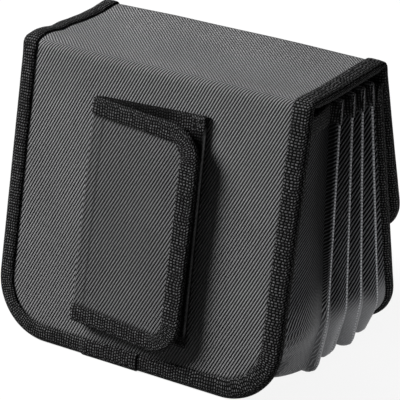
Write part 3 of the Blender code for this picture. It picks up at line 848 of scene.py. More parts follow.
def frontSheets(length, corner):
    x, t = tongueGrid(runWidth, corner, cover["edge"], length - cover["edge"])
    s = length - t
    edge = np.minimum(tongueEdge(x, t, runWidth, corner), s) - layers["tapeFace"]
    lift = quilted(edge, cover["frontPuffReach"])
    # the seam mark is the painted shadow beside the tape
    marks = {"lay": 0 * x, "seam": paintedSeamShadow(edge)}
    piece, area = sheetOf("frontCover", x, s, onFront, -layers["skin"], layers["cover"], lift, twill, marks)
    wear(piece, ["front_cover"], body="front")
    low = -run["wall"] + layers["skin"] + layers["lining"]
    marks = {"lay": 0 * x}
    piece, area = sheetOf("frontLining", x, s, onFront, low, layers["lining"], 0 * x, liningCloth, marks)
    wear(piece, ["front_lining"], body="front")


frontSheets(frontPanel["length"], frontPanel["corner"])
frontEdge = boundEdge([
    (-halfWidth, frontPanel["endTrim"]), (-halfWidth, frontPanel["length"]),
    (halfWidth, frontPanel["length"]), (halfWidth, frontPanel["endTrim"]),
], [0, frontPanel["corner"], frontPanel["corner"], 0])
piece = sweepTape("frontTape", frontEdge, boundProfile, onFront, -run["wall"] / 2, tape, 5)
wear(piece, ["front_binding"], body="front")
topEdge = boundEdge([
    (halfWidth - frontPanel["endTrim"], -frontPanel["topRise"]),
    (-halfWidth + frontPanel["endTrim"], -frontPanel["topRise"]),
], [0, 0])
wide = tapeProfile(run["wall"] + frontPanel["overTape"], layers["tapeFace"], layers["tape"])
piece = sweepTape("frontTopTape", topEdge, wide, onFront, -run["wall"] / 2, tape, 6)
wear(piece, ["front_top_binding"], body="front")
print("front panel made")

# Dividers and their hems

divider = {
    "drop": 0.0075, "footClearance": 0.0025, "corner": 0.020, "inset": 0.0005,
    "sheet": 0.0008, "sheetCorner": 0.032, "sheetInset": 0.0012, "sheetTrim": 0.001,
    "wave": 0.0006, "waveSize": 0.11, "waveFrom": 0.03,
    "hem": 0.012, "hemLap": 0.001, "hemThickness": 0.0026,
    "hemOver": 0.0007, "hemRise": 0.0010, "hemCrown": 0.0002,
    "hemEnd": 0.005, "wrap": 0.0006, "wrapRise": 0.0009,      # a short tape wraps each end of a hem
    "seat": 0.00075,         # the gusset's cloth meets the board this far from its middle
    "seam": 0.0006,          # and this far inside the path of the fold
    "ridge": 0.0024, "ridgeFace": 0.0024, "ridgeCloth": 0.0005,
    # the gusset folds leave the round foot corner of the board and run on, slanted, to the ground
    "slants": ((0.030, 0.0055), (0.028, 0.0095), (0.028, 0.0060), (0.018, 0.0095)),    # rise and run of each
    "sag": 0.0020, "slantBend": 0.025, "footBend": 0.004,
    "mouthShares": (0.4105, 0.1655, 0.1373, 0.1252), "footShares": (0.4076, 0.1608, 0.1271, 0.1496),
}
mouth = run["height"] - divider["drop"]
foot = divider["footClearance"]
footY = -run["height"] * tan(run["backLean"])
footSpan = frontTopY + frontTopZ * tan(frontPanel["lean"]) - footY
mouthY = 0.0
dividerWidth = runWidth - 2 * divider["inset"]
panels = []
for mouthShare, footShare in zip(divider["mouthShares"], divider["footShares"]):
    mouthY += frontTopY * mouthShare
    footY += footSpan * footShare
    lean = atan((footY - mouthY) / (mouth - foot))
    panels.append({"y": mouthY + run["foldLineY"], "lean": lean, "length": (mouth - foot) / cos(lean)})


def foldOutline(start, length, slant):
    # path of a gusset fold down a divider: straight sides, a slanted lower corner, the foot
    side, low = dividerWidth / 2, length + divider["sag"]
    turn, slant = length - slant[0], side - slant[1]
    corners = [(-side, start), (-side, turn), (-slant, low), (slant, low), (side, turn), (side, start)]
    slantBend, footBend = divider["slantBend"], divider["footBend"]
    return corners, [0, slantBend, footBend, footBend, slantBend, 0]


def dividerSheet(number, panel, place, body):
    corner = divider["sheetCorner"]
    x, t = tongueGrid(
        dividerWidth, corner, divider["sheetInset"], panel["length"] - divider["sheetTrim"],
        rowStep=0.004, middleColumns=20,
    )
    loose = smooth(0, divider["waveFrom"], tongueEdge(x, t, dividerWidth, corner))
    wave = divider["wave"] * ripple(x, t, 30 + number, divider["waveSize"]) * loose
    thickness, marks = divider["sheet"], {"lay": 0 * x}
    piece, area = sheetOf(
        f"dividerSheet{number}", x, panel["length"] - t, place, thickness / 2, thickness, wave,
        liningCloth, marks,
    )
    wear(piece, [body], body=body)


hemReach = dividerWidth / 2 + divider["hemOver"]
hemEdge = boundEdge([(hemReach, -divider["hemRise"]), (-hemReach, -divider["hemRise"])], [0, 0])
hemFace = divider["hem"] + divider["hemLap"]
hem = tapeProfile(divider["hemThickness"], hemFace, layers["tape"], divider["hemCrown"])
wrapped = tapeProfile(
    divider["hemThickness"] + divider["wrap"], divider["hemEnd"], layers["tape"], divider["hemCrown"],
)
ridge = tapeProfile(divider["ridge"], divider["ridgeFace"], divider["ridgeCloth"])
for number, panel in enumerate(panels, 1):
    body = f"divider_{number}"
    onDivider = onPanel(panel["y"], mouth, panel["lean"])
    dividerSheet(number, panel, onDivider, body)
    piece = sweepTape(f"dividerHem{number}", hemEdge, hem, onDivider, 0, hemTape, 40 + number)
    wear(piece, [f"{body}_binding"], body=body)
    for side, x, low, high in (
        ("Left", -hemReach, -divider["wrapRise"], divider["hem"]),
        ("Right", hemReach, divider["hem"], -divider["wrapRise"]),
    ):
        end = boundEdge([(x, low), (x, high)], [0, 0])
        # the hem ends are drawn in the paler tape, partly painted light
        piece = sweepTape(f"dividerHemEnd{side}{number}", end, wrapped, onDivider, 0, endTapePaintedLight, 44 + number)
        wear(piece, [], body=body)
    slant = divider["slants"][number - 1]
    ridgeEdge = boundEdge(*foldOutline(divider["hem"] - divider["hemLap"], panel["length"], slant))
    # the ridge is drawn in the pale twill, a painted highlight
    piece = sweepTape(f"ridgeFold{number}", ridgeEdge, ridge, onDivider, 0, ridgeTwillPaintedHighlight, 50 + number)
    wear(piece, [], body=body)
print("dividers made")

# Gussets: one rule for every pleat

gusset = {
    "cloth": 0.0008, "hemThickness": 0.0019, "hemRows": 5,
    # round the foot the back's seam runs further in and gathers the cloth
    "footInset": 0.010, "insetFrom": 0.045, "insetTo": 0.010, "gatherPitch": 0.0062,
    "softness": 0.05, "sideSteps": 44, "cornerSteps": 20, "footSteps": 24, "acrossSteps": 26,
    # shares of the way down or across a pleat between which each effect sets in
    "bulgeDown": (0.55, 0.90), "gatherDown": (0.70, 0.92), "gatherAcross": (0.62, 0.15),
    "gatherEdge": (0.0, 0.08), "tuckAcross": 0.45, "underTurn": (0.30, 0.60), "footTurn": (1.0, 0.85),
    "tightDown": (0.86, 0.99),
    # shadeEdge, shadeFrom, creaseDown and mouthDown place the painted shade towards the crease and under the
    # lid
    "shineOver": 0.15, "weaveDown": (0.60, 0.88), "shadeEdge": (1.0, 0.96), "shadeFrom": 0.15,
    "creaseDown": (0.97, 0.80), "mouthDown": (0.80, 0.30),
    # valley is where the crease lies between the edges, bow the swell of its legs;
    # bulge, tuck and gather shape the lower corner; pull and crowd are what the gathers do to the weave there
    # creaseShade and mouthShade set the strength of that painted shade
    "first": {
        "valley": 0.92, "mouthDepth": 0.0048, "footDepth": 0.0022, "bow": 0.020,
        "bulge": 0.0034, "tuck": 0.0060, "gather": 0.0007,
        "weaveTurn": radians(28.8), "weaveScale": 0.753, "pull": 0.72, "crowd": 0.95,
        "tight": 0.45, "shineFrom": 0.73, "creaseShade": 0.70, "mouthShade": 0.55,
    },
    "others": {
        "valley": 0.50, "mouthDepth": 0.0150, "footDepth": 0.0050, "bow": 0.050,
        "bulge": 0.0010, "tuck": 0.0, "gather": 0.0,
        "weaveTurn": 0.0, "weaveScale": 1.0, "pull": 0.0, "crowd": 0.0,
        "tight": 1.0, "shineFrom": 0.82, "creaseShade": 0.0, "mouthShade": 0.0,
    },
}


def pleatTree():
    tree, given = startTree("gusset pleat", (
        "Valley Share", "Valley Softness", "Mouth Depth", "Foot Depth", "Bow Share",
        "Corner Bulge", "Corner Tuck", "Gather Height", "Gather Pitch",
    ), "Cloth")

    def math(operation, *values):
        return mathNode(tree, operation, *values)

    def product(first, *others):
        for other in others:
            first = times(tree, first, other)
        return first

    def eased(value, low, high):
        return ranged(tree, value, low, high, kind="SMOOTHSTEP")

    near, far, out = (stored(tree, name) for name in ("near", "far", "out"))
    across, down = stored(tree, "across", "FLOAT"), stored(tree, "down", "FLOAT")
    along, under = stored(tree, "along", "FLOAT"), stored(tree, "under", "FLOAT")
    valley = given["Valley Share"]
    rising = math("DIVIDE", across, valley)
    falling = math("DIVIDE", math("SUBTRACT", 1.0, across), math("SUBTRACT", 1.0, valley))
    tent = math("MAXIMUM", math("SMOOTH_MIN", rising, falling, given["Valley Softness"]), 0.0)
    legShare = math("MINIMUM", math("MINIMUM", rising, falling), 1.0)
    deeper = math("SUBTRACT", given["Foot Depth"], given["Mouth Depth"])
    depth = math("MULTIPLY_ADD", deeper, down, given["Mouth Depth"])
    way = vectorNode(tree, "SUBTRACT", far, near)
    bowed = product(math("SINE", product(legShare, pi)), given["Bow Share"], vectorNode(tree, "LENGTH", way))
    belly = math("SINE", product(across, pi))
    bulge = product(belly, eased(down, *gusset["bulgeDown"]), given["Corner Bulge"])
    nearBoard = math("SINE", product(math("MINIMUM", math("DIVIDE", across, gusset["tuckAcross"]), 1.0), pi))
    tuck = product(nearBoard, under, given["Corner Tuck"])
    waves = math("SINE", product(math("DIVIDE", along, given["Gather Pitch"]), 2 * pi))
    beside = product(eased(across, *gusset["gatherAcross"]), eased(across, *gusset["gatherEdge"]))
    gathered = product(waves, eased(down, *gusset["gatherDown"]), beside)
    shaped = math("MULTIPLY_ADD", gathered, given["Gather Height"], math("SUBTRACT", bulge, tuck))
    push = math("ADD", math("SUBTRACT", bowed, product(tent, depth)), shaped)
    line = vectorNode(tree, "ADD", near, vectorNode(tree, "SCALE", way, scale=across))
    placed = vectorNode(tree, "ADD", line, vectorNode(tree, "SCALE", out, scale=push))
    moved = addNode(tree, "GeometryNodeSetPosition", {"Geometry": given["Geometry"], "Position": placed})
    return endTree(tree, moved.outputs["Geometry"], given["Cloth"])


pleats = pleatTree()


def outlineStations(corners, radii, sideEnd, footX):
    # stations round a panel, the same count on every panel: side, corner, foot, corner, side
    points, ways, along = boundEdge(corners, radii, 0.0005)
    middle = along[-1] / 2
    first = along <= middle
    sideStop = np.interp(sideEnd, points[first, 1], along[first])
    cornerStop = np.interp(footX, points[first, 0], along[first])
    marks = np.concatenate([
        np.linspace(0, sideStop, gusset["sideSteps"] + 1),
        np.linspace(sideStop, cornerStop, gusset["cornerSteps"] + 1)[1:],
        np.linspace(cornerStop, middle, gusset["footSteps"] // 2 + 1)[1:],
    ])
    marks = np.concatenate([marks, along[-1] - marks[-2::-1]])
    return [np.interp(marks, along, values) for values in (*points.T, *ways.T)]


def boardStations(start, length, corner):
    outline = [(-halfWidth, start), (-halfWidth, length), (halfWidth, length), (halfWidth, start)]
    return outlineStations(outline, [0, corner, corner, 0], length - corner, corner - halfWidth)


def dividerStations(length, slant):
    outline, radii = foldOutline(0.0, length, slant)
    turn = atan2(slant[1], slant[0])
    bend = divider["slantBend"] * tan(turn / 2)
    footTrim = divider["footBend"] * tan(pi / 4 - turn / 2)
    return outlineStations(outline, radii, length - slant[0] - bend, slant[1] + footTrim - dividerWidth / 2)


def gussetEdge(place, lean, side, stations, depth, height):
    # world points of an edge, and the ways that lead out of the case there
    x, t, wayX, wayT = stations
    points = place(x + wayX * depth, t + wayT * depth, height + 0 * x)
    ways = np.stack([-wayX, -wayT * side * sin(lean), wayT * cos(lean)], axis=-1)
    return points, ways


def unitWays(ways):
    return ways / np.linalg.norm(ways, axis=-1, keepdims=True)


def paintedPleatShade(across, down, fold):
    # painted shade: how much darker the cloth is painted towards its inner crease and under the lid
    beforeEdge = smooth(*gusset["shadeEdge"], across)[None]
    inner = smooth(gusset["shadeFrom"], fold["valley"], across)[None] * beforeEdge
    inner = inner * smooth(*gusset["creaseDown"], down)[:, None]
    high = smooth(*gusset["mouthDown"], down)[:, None] * beforeEdge
    return np.clip(fold["creaseShade"] * inner + fold["mouthShade"] * high, 0, 0.9)


def pleatPiece(name, near, far, forward, fold, cloth, finish, rows):
    # the cloth between two edges, over the given rows of stations, folded by the tree
    (a, outA), (b, outB) = near, far
    out = outA + outB
    out = unitWays(out - np.outer(out @ forward, forward))
    down = np.clip((a[0, 2] - a[:, 2]) / (a[0, 2] - divider["corner"]), 0, 1)
    steps = np.linalg.norm(np.diff((a + b) / 2, axis=0), axis=1)
    along = np.concatenate([[0], np.cumsum(steps)])
    rightSide = rows >= len(a) / 2
    along = np.where(rightSide, along[rows] - along[-1], -along[rows])      # from the mouth, on both sides
    a, b, out, down = a[rows], b[rows], out[rows], down[rows]
    count = gusset["acrossSteps"] + 1
    across = np.linspace(0, 1, count)
    index = np.arange(len(rows) * count).reshape(len(rows), count)
    joined = np.flatnonzero(np.diff(rows) == 1)
    quads = [index[joined, :-1], index[joined, 1:], index[joined + 1, 1:], index[joined + 1, :-1]]
    faces = np.stack([corner.ravel() for corner in quads], 1)
    rowMarks = {
        "down": down,
        "along": along,
        "under": smooth(*gusset["underTurn"], -out[:, 2]) * smooth(*gusset["footTurn"], -out[:, 2]),
        "tight": fold["tight"] * smooth(*gusset["tightDown"], down),
        "low": smooth(fold["shineFrom"], fold["shineFrom"] + gusset["shineOver"], down),
    }
    marks = {mark: np.repeat(values, count) for mark, values in rowMarks.items()}
    marks["across"] = np.tile(across, len(rows))
    # the seam mark is painted shade towards the crease and under the lid
    marks["seam"] = paintedPleatShade(across, down, fold).ravel()
    marks["lay"] = np.zeros(index.size)
    weave = np.zeros((index.size, 2))
    blank = newPiece(f"{name}Blank", np.repeat(a, count, axis=0), faces, finish, weave, marks)
    for mark, values in (("near", a), ("far", b), ("out", out)):
        markPoints(blank, mark, np.repeat(values, count, 0))
    pleat = blank.modifiers.new("pleat", "NODES")
    pleat.node_group = pleats
    setInputs(pleat, {
        "Valley Share": fold["valley"], "Valley Softness": gusset["softness"],
        "Mouth Depth": fold["mouthDepth"], "Foot Depth": fold["footDepth"], "Bow Share": fold["bow"],
        "Corner Bulge": fold["bulge"], "Corner Tuck": fold["tuck"],
        "Gather Height": fold["gather"], "Gather Pitch": gusset["gatherPitch"], "Cloth": finish,
    })
    made = asMesh(blank, name)
    layWeave(made.data, index, along, down, rightSide, fold)
    solid = made.modifiers.new("cloth", "SOLIDIFY")
    solid.thickness = cloth
    solid.offset = 0
    made = asMesh(made, name)
    for mark in ("near", "far", "out", "across", "down", "along", "under"):
        made.data.attributes.remove(made.data.attributes[mark])
    made.data.shade_smooth()
    return made


def layWeave(mesh, index, along, down, rightSide, fold):
    # the weave follows the cloth's own length over the folds, the same way round seen from either side
    points = np.empty(index.size * 3)
    mesh.vertices.foreach_get("co", points)
    points = points.reshape(*index.shape, 3)
    lengths = np.linalg.norm(np.diff(points, axis=1), axis=2)
    u = np.concatenate([np.zeros((len(index), 1)), np.cumsum(lengths, axis=1)], axis=1)
    # low down the gathers crowd the threads, and pull them upright the more the longer they go on
    gathers = smooth(*gusset["weaveDown"], down)
    reach, share = -along[~rightSide], gathers[~rightSide]
    grown = np.diff(reach) * (share[1:] + share[:-1]) / 2
    drawn = fold["pull"] * np.concatenate([[0], np.cumsum(grown)])
    u = np.where(rightSide[:, None], u, u.max() - u) * (1 + fold["crowd"] * gathers)[:, None]
    v = np.broadcast_to((along + np.interp(-along, reach, drawn))[:, None], u.shape)
    turn = fold["weaveTurn"]
    weave = np.stack([u * cos(turn) - v * sin(turn), u * sin(turn) + v * cos(turn)], -1) * fold["weaveScale"]
    corner = np.empty(len(mesh.loops), np.int32)
    mesh.loops.foreach_get("vertex_index", corner)
    mesh.uv_layers["weave"].data.foreach_set("uv", weave.reshape(-1, 2)[corner].ravel())


def gussetPieces(number, near, far, forward, fold, bodies):
    start = near[0][0]
    end = start + forward * float(np.dot(far[0][0] - start, forward))
    bend = (bodies[0], bodies[1], tuple(start), tuple(end))
    allRows = np.arange(len(near[0]))
    cloth = gusset["cloth"]
    piece = pleatPiece(f"gussetCloth{number}", near, far, forward, fold, cloth, gussetTwillPaintedShade, allRows)
    wear(piece, [f"gusset_{number}"], bend=bend)
    ends = np.concatenate([allRows[:gusset["hemRows"]], allRows[-gusset["hemRows"]:]])
    straight = {**fold, "weaveTurn": 0.0, "weaveScale": 1.0, "pull": 0.0, "crowd": 0.0}
    piece = pleatPiece(f"gussetHem{number}", near, far, forward, straight, gusset["hemThickness"], tape, ends)
    wear(piece, [], bend=bend)


wallSeat = -run["wall"] - layers["gap"] - gusset["cloth"] / 2
wallEdge = run["wall"] / 2 + layers["gap"]
stations = boardStations(divider["drop"] / cos(run["backLean"]), run["backLength"], run["backCorner"])
lowShare = smooth(run["backLength"] - gusset["insetFrom"], run["backLength"] - gusset["insetTo"], stations[1])
near = gussetEdge(onBack, run["backLean"], -1, stations, wallEdge + gusset["footInset"] * lowShare, wallSeat)
nearLean, nearBody = -run["backLean"], "back"
for number, panel in enumerate(panels, 1):
    onDivider = onPanel(panel["y"], mouth, panel["lean"])
    stations = dividerStations(panel["length"], divider["slants"][number - 1])
    far = gussetEdge(onDivider, panel["lean"], 1, stations, divider["seam"], -divider["seat"])
    lean = (nearLean + panel["lean"]) / 2
    forward = np.array([0, cos(lean), sin(lean)])
    fold = gusset["first" if number == 1 else "others"]
    gussetPieces(number, near, far, forward, fold, (nearBody, f"divider_{number}"))
    near = gussetEdge(onDivider, panel["lean"], 1, stations, divider["seam"], divider["seat"])
    nearLean, nearBody = panel["lean"], f"divider_{number}"
stations = boardStations(layers["gap"], frontPanel["length"], frontPanel["corner"])
far = gussetEdge(onFront, frontPanel["lean"], 1, stations, wallEdge, wallSeat)
lean = (nearLean + frontPanel["lean"]) / 2
forward = np.array([0, cos(lean), sin(lean)])
gussetPieces(len(panels) + 1, near, far, forward, gusset["others"], (nearBody, "front"))
print("gussets made")

# Strap on the back

strap = {
    "foldX": -0.0335, "edgeX": 0.0310, "top": 0.0210, "foot": 0.0192, "cloth": 0.0012, "face": 0.009,
    "corner": 0.018, "fastener": 0.0012, "standOff": 0.0016, "bendMargin": 0.00045, "tapeCrown": 0.00022,
    "puff": 0.0003, "puffReach": 0.02, "uneven": 0.00006, "unevenSize": 0.03,
    "crease": 0.0048, "creaseWidth": 0.0009, "creaseShade": 0.55,      # a dark line drawn beside the fold
    # painted shade over the fold itself
    "foldShade": 0.3, "foldShadeStart": (-0.004, -0.002), "foldShadeEnd": (0.0008, 0.0),
    # the free edges of the wrap have moved a little out of square: base up and wider, leaf down and wider
    "flare": 0.0008, "baseTilt": 0.0023, "spread": 0.0012, "droop": 0.0045,
    "leafSpread": 0.0016, "tapeWiderFrom": 0.012, "tapeWiderTo": 0.003,      # back from the leaf's edge
}
strapShadeAndPaleEdge = {        # painted shade darkens the base's tape where the leaf covers it, and its free edge is drawn paler, fading down the strap
    "tuckedTop": (0.10, 0.40), "tuckedSide": (0.005, 0.011), "tuckedFoot": (0.004, 0.010),
    "paleEdgeDepth": (0.0012, 0.0004), "paleEdgeHeight": (0.0002, 0.0008),
    "fade": 0.6, "fadeDown": (0.03, 0.10), "patchy": 0.25, "patchSize": 0.004,
}
strapLow = run["backLength"] - strap["foot"]
strapThickness = strap["cloth"] + 2 * layers["skin"]
baseMiddle = -layers["skin"] + layers["gap"] + strapThickness / 2
leafMiddle = baseMiddle + strap["cloth"] + 3 * layers["gap"] + 2 * strap["fastener"]
strapWide = strap["edgeX"] - strap["foldX"]
strapRadius = (leafMiddle - baseMiddle) / 2
strapTurn = pi * strapRadius
strapRun = 2 * strapWide + strapTurn
strapMiddleT = (strap["top"] + strapLow) / 2


def onStrap(p, t, h):
    # the strap's cloth, unrolled: p from the base's free edge, round the fold, to the leaf's free edge
    p = p + 0 * t
    t = t + 0 * p
    turned = np.clip((p - strapWide) / strapRadius, 0, pi)
    base = np.clip(p, None, strapWide)
    leaf = np.clip(p - strapWide - strapTurn, 0, None)
    x = strap["edgeX"] - base + leaf - (strapRadius - h) * np.sin(turned)
    height = (baseMiddle + leafMiddle) / 2 - (strapRadius - h) * np.cos(turned)
    baseShare = np.clip(1 - p / strapWide, 0, 1)
    leafShare = leaf / strapWide
    sideways = (t - strapMiddleT) * 2 / (strapLow - strap["top"])
    flared = t - strapMiddleT + baseShare * (strap["flare"] * sideways - strap["baseTilt"])
    drooped = leafShare * strap["droop"]
    x = x + baseShare * strap["spread"] * (1 + sideways) + leafShare * strap["leafSpread"]
    return onBack(x, strapMiddleT + flared + drooped, height + strap["standOff"] * smooth(0.1, 1, leafShare))


def bendPoint(h):
    # on the middle of the wrap's fold line, h out from the back's face
    return tuple(onBack(strap["foldX"], strapMiddleT, h).tolist())


strapBend = (
    "back", "strap_leaf",
    bendPoint(baseMiddle + strapThickness / 2 + strap["bendMargin"]),
    bendPoint(leafMiddle - strapThickness / 2 - strap["bendMargin"]),
)
inset = strapThickness / 2


def strapGrid():
    # p and t over the unrolled cloth, closer together on the leaf, with round corners at its free edge
    p = np.concatenate([
        np.linspace(inset, strapWide, 24), strapWide + strapTurn * np.linspace(0, 1, 15)[1:-1],
        strapRun - inset - (strapWide - inset) * np.linspace(1, 0, 90),
    ])
    fromEdge, corner = strapRun - p, strap["corner"]
    rise = np.clip(corner - fromEdge, 0, corner - inset)
    rounded = corner - np.sqrt(np.clip((corner - inset) ** 2 - rise ** 2, 0, None))
    trim = np.where(fromEdge < corner, rounded, inset)
    share = np.linspace(0, 1, 50)
    t = strap["top"] + trim[:, None] + (strapLow - strap["top"] - 2 * trim[:, None]) * share[None]
    return np.repeat(p[:, None], 50, 1), t


def strapEdgeAndPaintedShade(p, t):
    # how far each place is inside the tape, and how dark the cloth is painted there: painted shadow beside
    # the tape, painted shade over the fold, and a dark line beside the fold
    fromEdge, sideways, corner = strapRun - p, np.minimum(t - strap["top"], strapLow - t), strap["corner"]
    nearest = np.where(
        (fromEdge < corner) & (sideways < corner),
        corner - np.hypot(corner - fromEdge, corner - sideways), np.minimum(fromEdge, sideways),
    )
    nearest = np.minimum(nearest, p) - strap["face"]
    past = p - strapWide - strapTurn
    crease = np.clip(1 - np.abs(past - strap["crease"]) / strap["creaseWidth"], 0, 1)
    fold = smooth(*strap["foldShadeStart"], past) * smooth(*strap["foldShadeEnd"], past)
    dark = np.maximum(strap["creaseShade"] * crease, strap["foldShade"] * fold)
    return nearest, np.maximum(paintedSeamShadow(nearest), dark)


p, t = strapGrid()
# seam is painted shade: the shadow beside the tape and the shade over the fold, with the dark line beside the
# fold
nearest, seam = strapEdgeAndPaintedShade(p, t)
puff = -strap["puff"] * smooth(0, strap["puffReach"], nearest)
puff = puff + strap["uneven"] * ripple(p, t, 61, strap["unevenSize"])
outer = onStrap(p, t, strap["cloth"] / 2 + 0 * puff)
inner = onStrap(p, t, -strap["cloth"] / 2 + puff)
leafX = strap["foldX"] + p - strapWide - strapTurn
marks = {"lay": 0 * p, "seam": seam}
piece = closedCloth("strapCloth", outer, inner, np.stack([leafX, -t], -1), strapTwillPaintedShade, marks)
wear(piece, ["strap_base", "strap_fold", "strap_leaf"], bend=strapBend)

joint = strapMiddleT + 0.02      # where the ends of its tape meet
strapEdge = boundEdge([
    (0, joint), (0, strapLow), (strapRun, strapLow), (strapRun, strap["top"]), (0, strap["top"]), (0, joint),
], [0, 0, strap["corner"], strap["corner"], 0, 0], step=0.0012)


def strapMarks(points, outer):
    # shares of painted shade where the leaf covers the base's tape, and of the paler colour at the base's
    # free edge
    p, t = points[:, :1], points[:, 1:]
    depth, height = outer[None, :, 0], outer[None, :, 1]
    onTop = (t < strap["top"] + 1e-6) * (p < strapWide) * smooth(*strapShadeAndPaleEdge["tuckedTop"], p / strapWide)
    onSide = (p < 1e-6) * smooth(*strapShadeAndPaleEdge["tuckedSide"], t - strap["top"])
    onSide = onSide * smooth(*strapShadeAndPaleEdge["tuckedFoot"], strapLow - t)
    rubbed = onSide * smooth(*strapShadeAndPaleEdge["paleEdgeDepth"], depth) * smooth(*strapShadeAndPaleEdge["paleEdgeHeight"], height)
    patchy = 1 - strapShadeAndPaleEdge["patchy"] + strapShadeAndPaleEdge["patchy"] * ripple(t, t * 0, 67, strapShadeAndPaleEdge["patchSize"])
    paleFade = patchy * (1 - strapShadeAndPaleEdge["fade"] * smooth(*strapShadeAndPaleEdge["fadeDown"], t))
    return {"tucked": np.maximum(onTop, onSide) * (1 - rubbed) * (height > -0.001), "rubbed": rubbed * paleFade}


def leafTapeWider(p):
    share = smooth(strapRun - strap["tapeWiderFrom"], strapRun - strap["tapeWiderTo"], p)
    return strap["leafSpread"] * share


profile = tapeProfile(strapThickness, strap["face"], layers["tape"], strap["tapeCrown"])
piece = sweepTape("strapTape", strapEdge, profile, onStrap, 0, tape, 8, wider=leafTapeWider, marks=strapMarks)
wear(piece, [
    "strap_base_binding", "strap_leaf_binding", "strap_fold_binding_top", "strap_fold_binding_bottom",
], bend=strapBend)
print("strap made")

# Stitches: one rule, laid along every seam

probe = 0.0004       # a place this far ahead or above gives the direction there
stitch = {
    "pitch": 0.0052, "length": 0.0026, "radius": 0.00030, "sunk": 0.00012,
    "place": 0.0054,         # how far in from the bound edge the seam runs
    "hemPlace": 0.0015,      # and how far inside the hem's lower edge
}


def stitchTree():
    tree, given = startTree("lock stitches", ("Stitch Length", "Thread Radius"), "Thread")
    links = {"Segments": 8, "Rings": 6, "Radius": 1.0}
    bead = addNode(tree, "GeometryNodeMeshUVSphere", links).outputs["Mesh"]
    radius = given["Thread Radius"]
    size = combined(tree, X=times(tree, given["Stitch Length"], 0.5), Y=radius, Z=radius)
    laid = laidOnPoints(tree, given["Geometry"], bead, ("X", "way"), ("Z", "out"), size)
    return endTree(tree, laid, given["Thread"])


lockStitches = stitchTree()


def seamPoints(edge, place, middle, thickness, depth):
    # stitch centres on both faces of a seam that lies at the depth in from a bound edge
    points, ways, _ = edge
    a, b = points[:, 0] + ways[:, 0] * depth, points[:, 1] + ways[:, 1] * depth
    reached = np.concatenate([[0], np.cumsum(np.hypot(np.diff(a), np.diff(b)))])
    count = int(reached[-1] / stitch["pitch"])
    marks = (np.arange(count) + 0.5) * reached[-1] / count
    spots, tangents, outs = [], [], []
    for face in (1, -1):
        height = middle + face * (thickness / 2 - stitch["sunk"]) + 0 * marks
        here, ahead, above = (
            place(np.interp(marks + on, reached, a), np.interp(marks + on, reached, b), height + face * up)
            for on, up in ((0, 0), (probe, 0), (0, probe))
        )
        spots.append(here)
        tangents.append(unitWays(ahead - here))
        outs.append(unitWays(above - here))
    return [np.concatenate(part) for part in (spots, tangents, outs)]


def instanced(name, spots, ways, outs, tree, finish, inputs):
    # a mesh of many small copies, which the tree lays on the spots
    blank = newPiece(f"{name}Blank", spots, np.empty((0, 4), int), finish)
    markPoints(blank, "way", ways)
    markPoints(blank, "out", outs)
    copies = blank.modifiers.new("copies", "NODES")
    copies.node_group = tree
    setInputs(copies, inputs)
    piece = asMesh(blank, name)
    piece.data.shade_smooth()
    return piece


def sewSeams(name, seams, body=None, bend=None):
    spots, tangents, outs = (np.concatenate([seam[number] for seam in seams]) for number in range(3))
    inputs = {"Stitch Length": stitch["length"], "Thread Radius": stitch["radius"], "Thread": thread}
    piece = instanced(name, spots, tangents, outs, lockStitches, thread, inputs)
    wear(piece, [], body=body, bend=bend)


wall, seamDepth = run["wall"], stitch["place"]
sewSeams("rearStitches", [seamPoints(rearEdge, onRunTape, -wall / 2, wall, seamDepth)], bend=rearBend)
sewSeams("flapStitches", [seamPoints(flapEdge, onRunTape, -wall / 2, wall, seamDepth)], bend=frontBend)
sewSeams("frontStitches", [
    seamPoints(frontEdge, onFront, -wall / 2, wall, seamDepth),
    seamPoints(topEdge, onFront, -wall / 2, wall + frontPanel["overTape"], seamDepth),
], body="front")
sewSeams("strapStitches", [seamPoints(strapEdge, onStrap, 0, strapThickness, seamDepth)], bend=strapBend)
for number, panel in enumerate(panels, 1):
    onDivider = onPanel(panel["y"], mouth, panel["lean"])
    seam = seamPoints(hemEdge, onDivider, 0, divider["hemThickness"], divider["hem"] - stitch["hemPlace"])
    sewSeams(f"hemStitches{number}", [seam], body=f"divider_{number}")
print("stitches made")

# Hook and loop fastener

fastener = {
    "thickness": 0.0012, "ground": 0.0005, "margin": 0.012,
    "lidWidth": 0.100, "lidHeight": 0.025, "lidEdge": 0.012,      # the patches of the lid and the front
    "hookPitch": 0.0019, "hookRow": 0.0014, "hookHeight": 0.0011, "hookRadius": 0.00014, "hookMargin": 0.002,
    "pile": 0.00025, "pileFrom": 0.001, "pileStep": 0.0007, "groundStep": 0.0016,
    "rounding": 0.35, "roundOver": 0.0012,
}


def padSpan(low, high, step):
    return np.linspace(low, high, max(2, round((high - low) / step) + 1))


def hookTree():
    tree, given = startTree("moulded hooks", ("Hook Height", "Hook Radius"), "Plastic")
    high = given["Hook Height"]
    links = {
        "Resolution": 5, "Start": (0, 0, 0),
        "Middle": combined(tree, X=times(tree, high, 0.25), Z=times(tree, high, 1.45)),
        "End": combined(tree, X=times(tree, high, 0.6), Z=times(tree, high, 0.55)),
    }
    bent = addNode(tree, "GeometryNodeCurveQuadraticBezier", links).outputs["Curve"]
    links = {"Resolution": 5, "Radius": given["Hook Radius"]}
    ring = addNode(tree, "GeometryNodeCurvePrimitiveCircle", links).outputs["Curve"]
    links = {"Curve": bent, "Profile Curve": ring, "Fill Caps": True}
    hook = addNode(tree, "GeometryNodeCurveToMesh", links).outputs["Mesh"]
    laid = laidOnPoints(tree, given["Geometry"], hook, ("Z", "out"), ("X", "way"))
    return endTree(tree, laid, given["Plastic"])


mouldedHooks = hookTree()


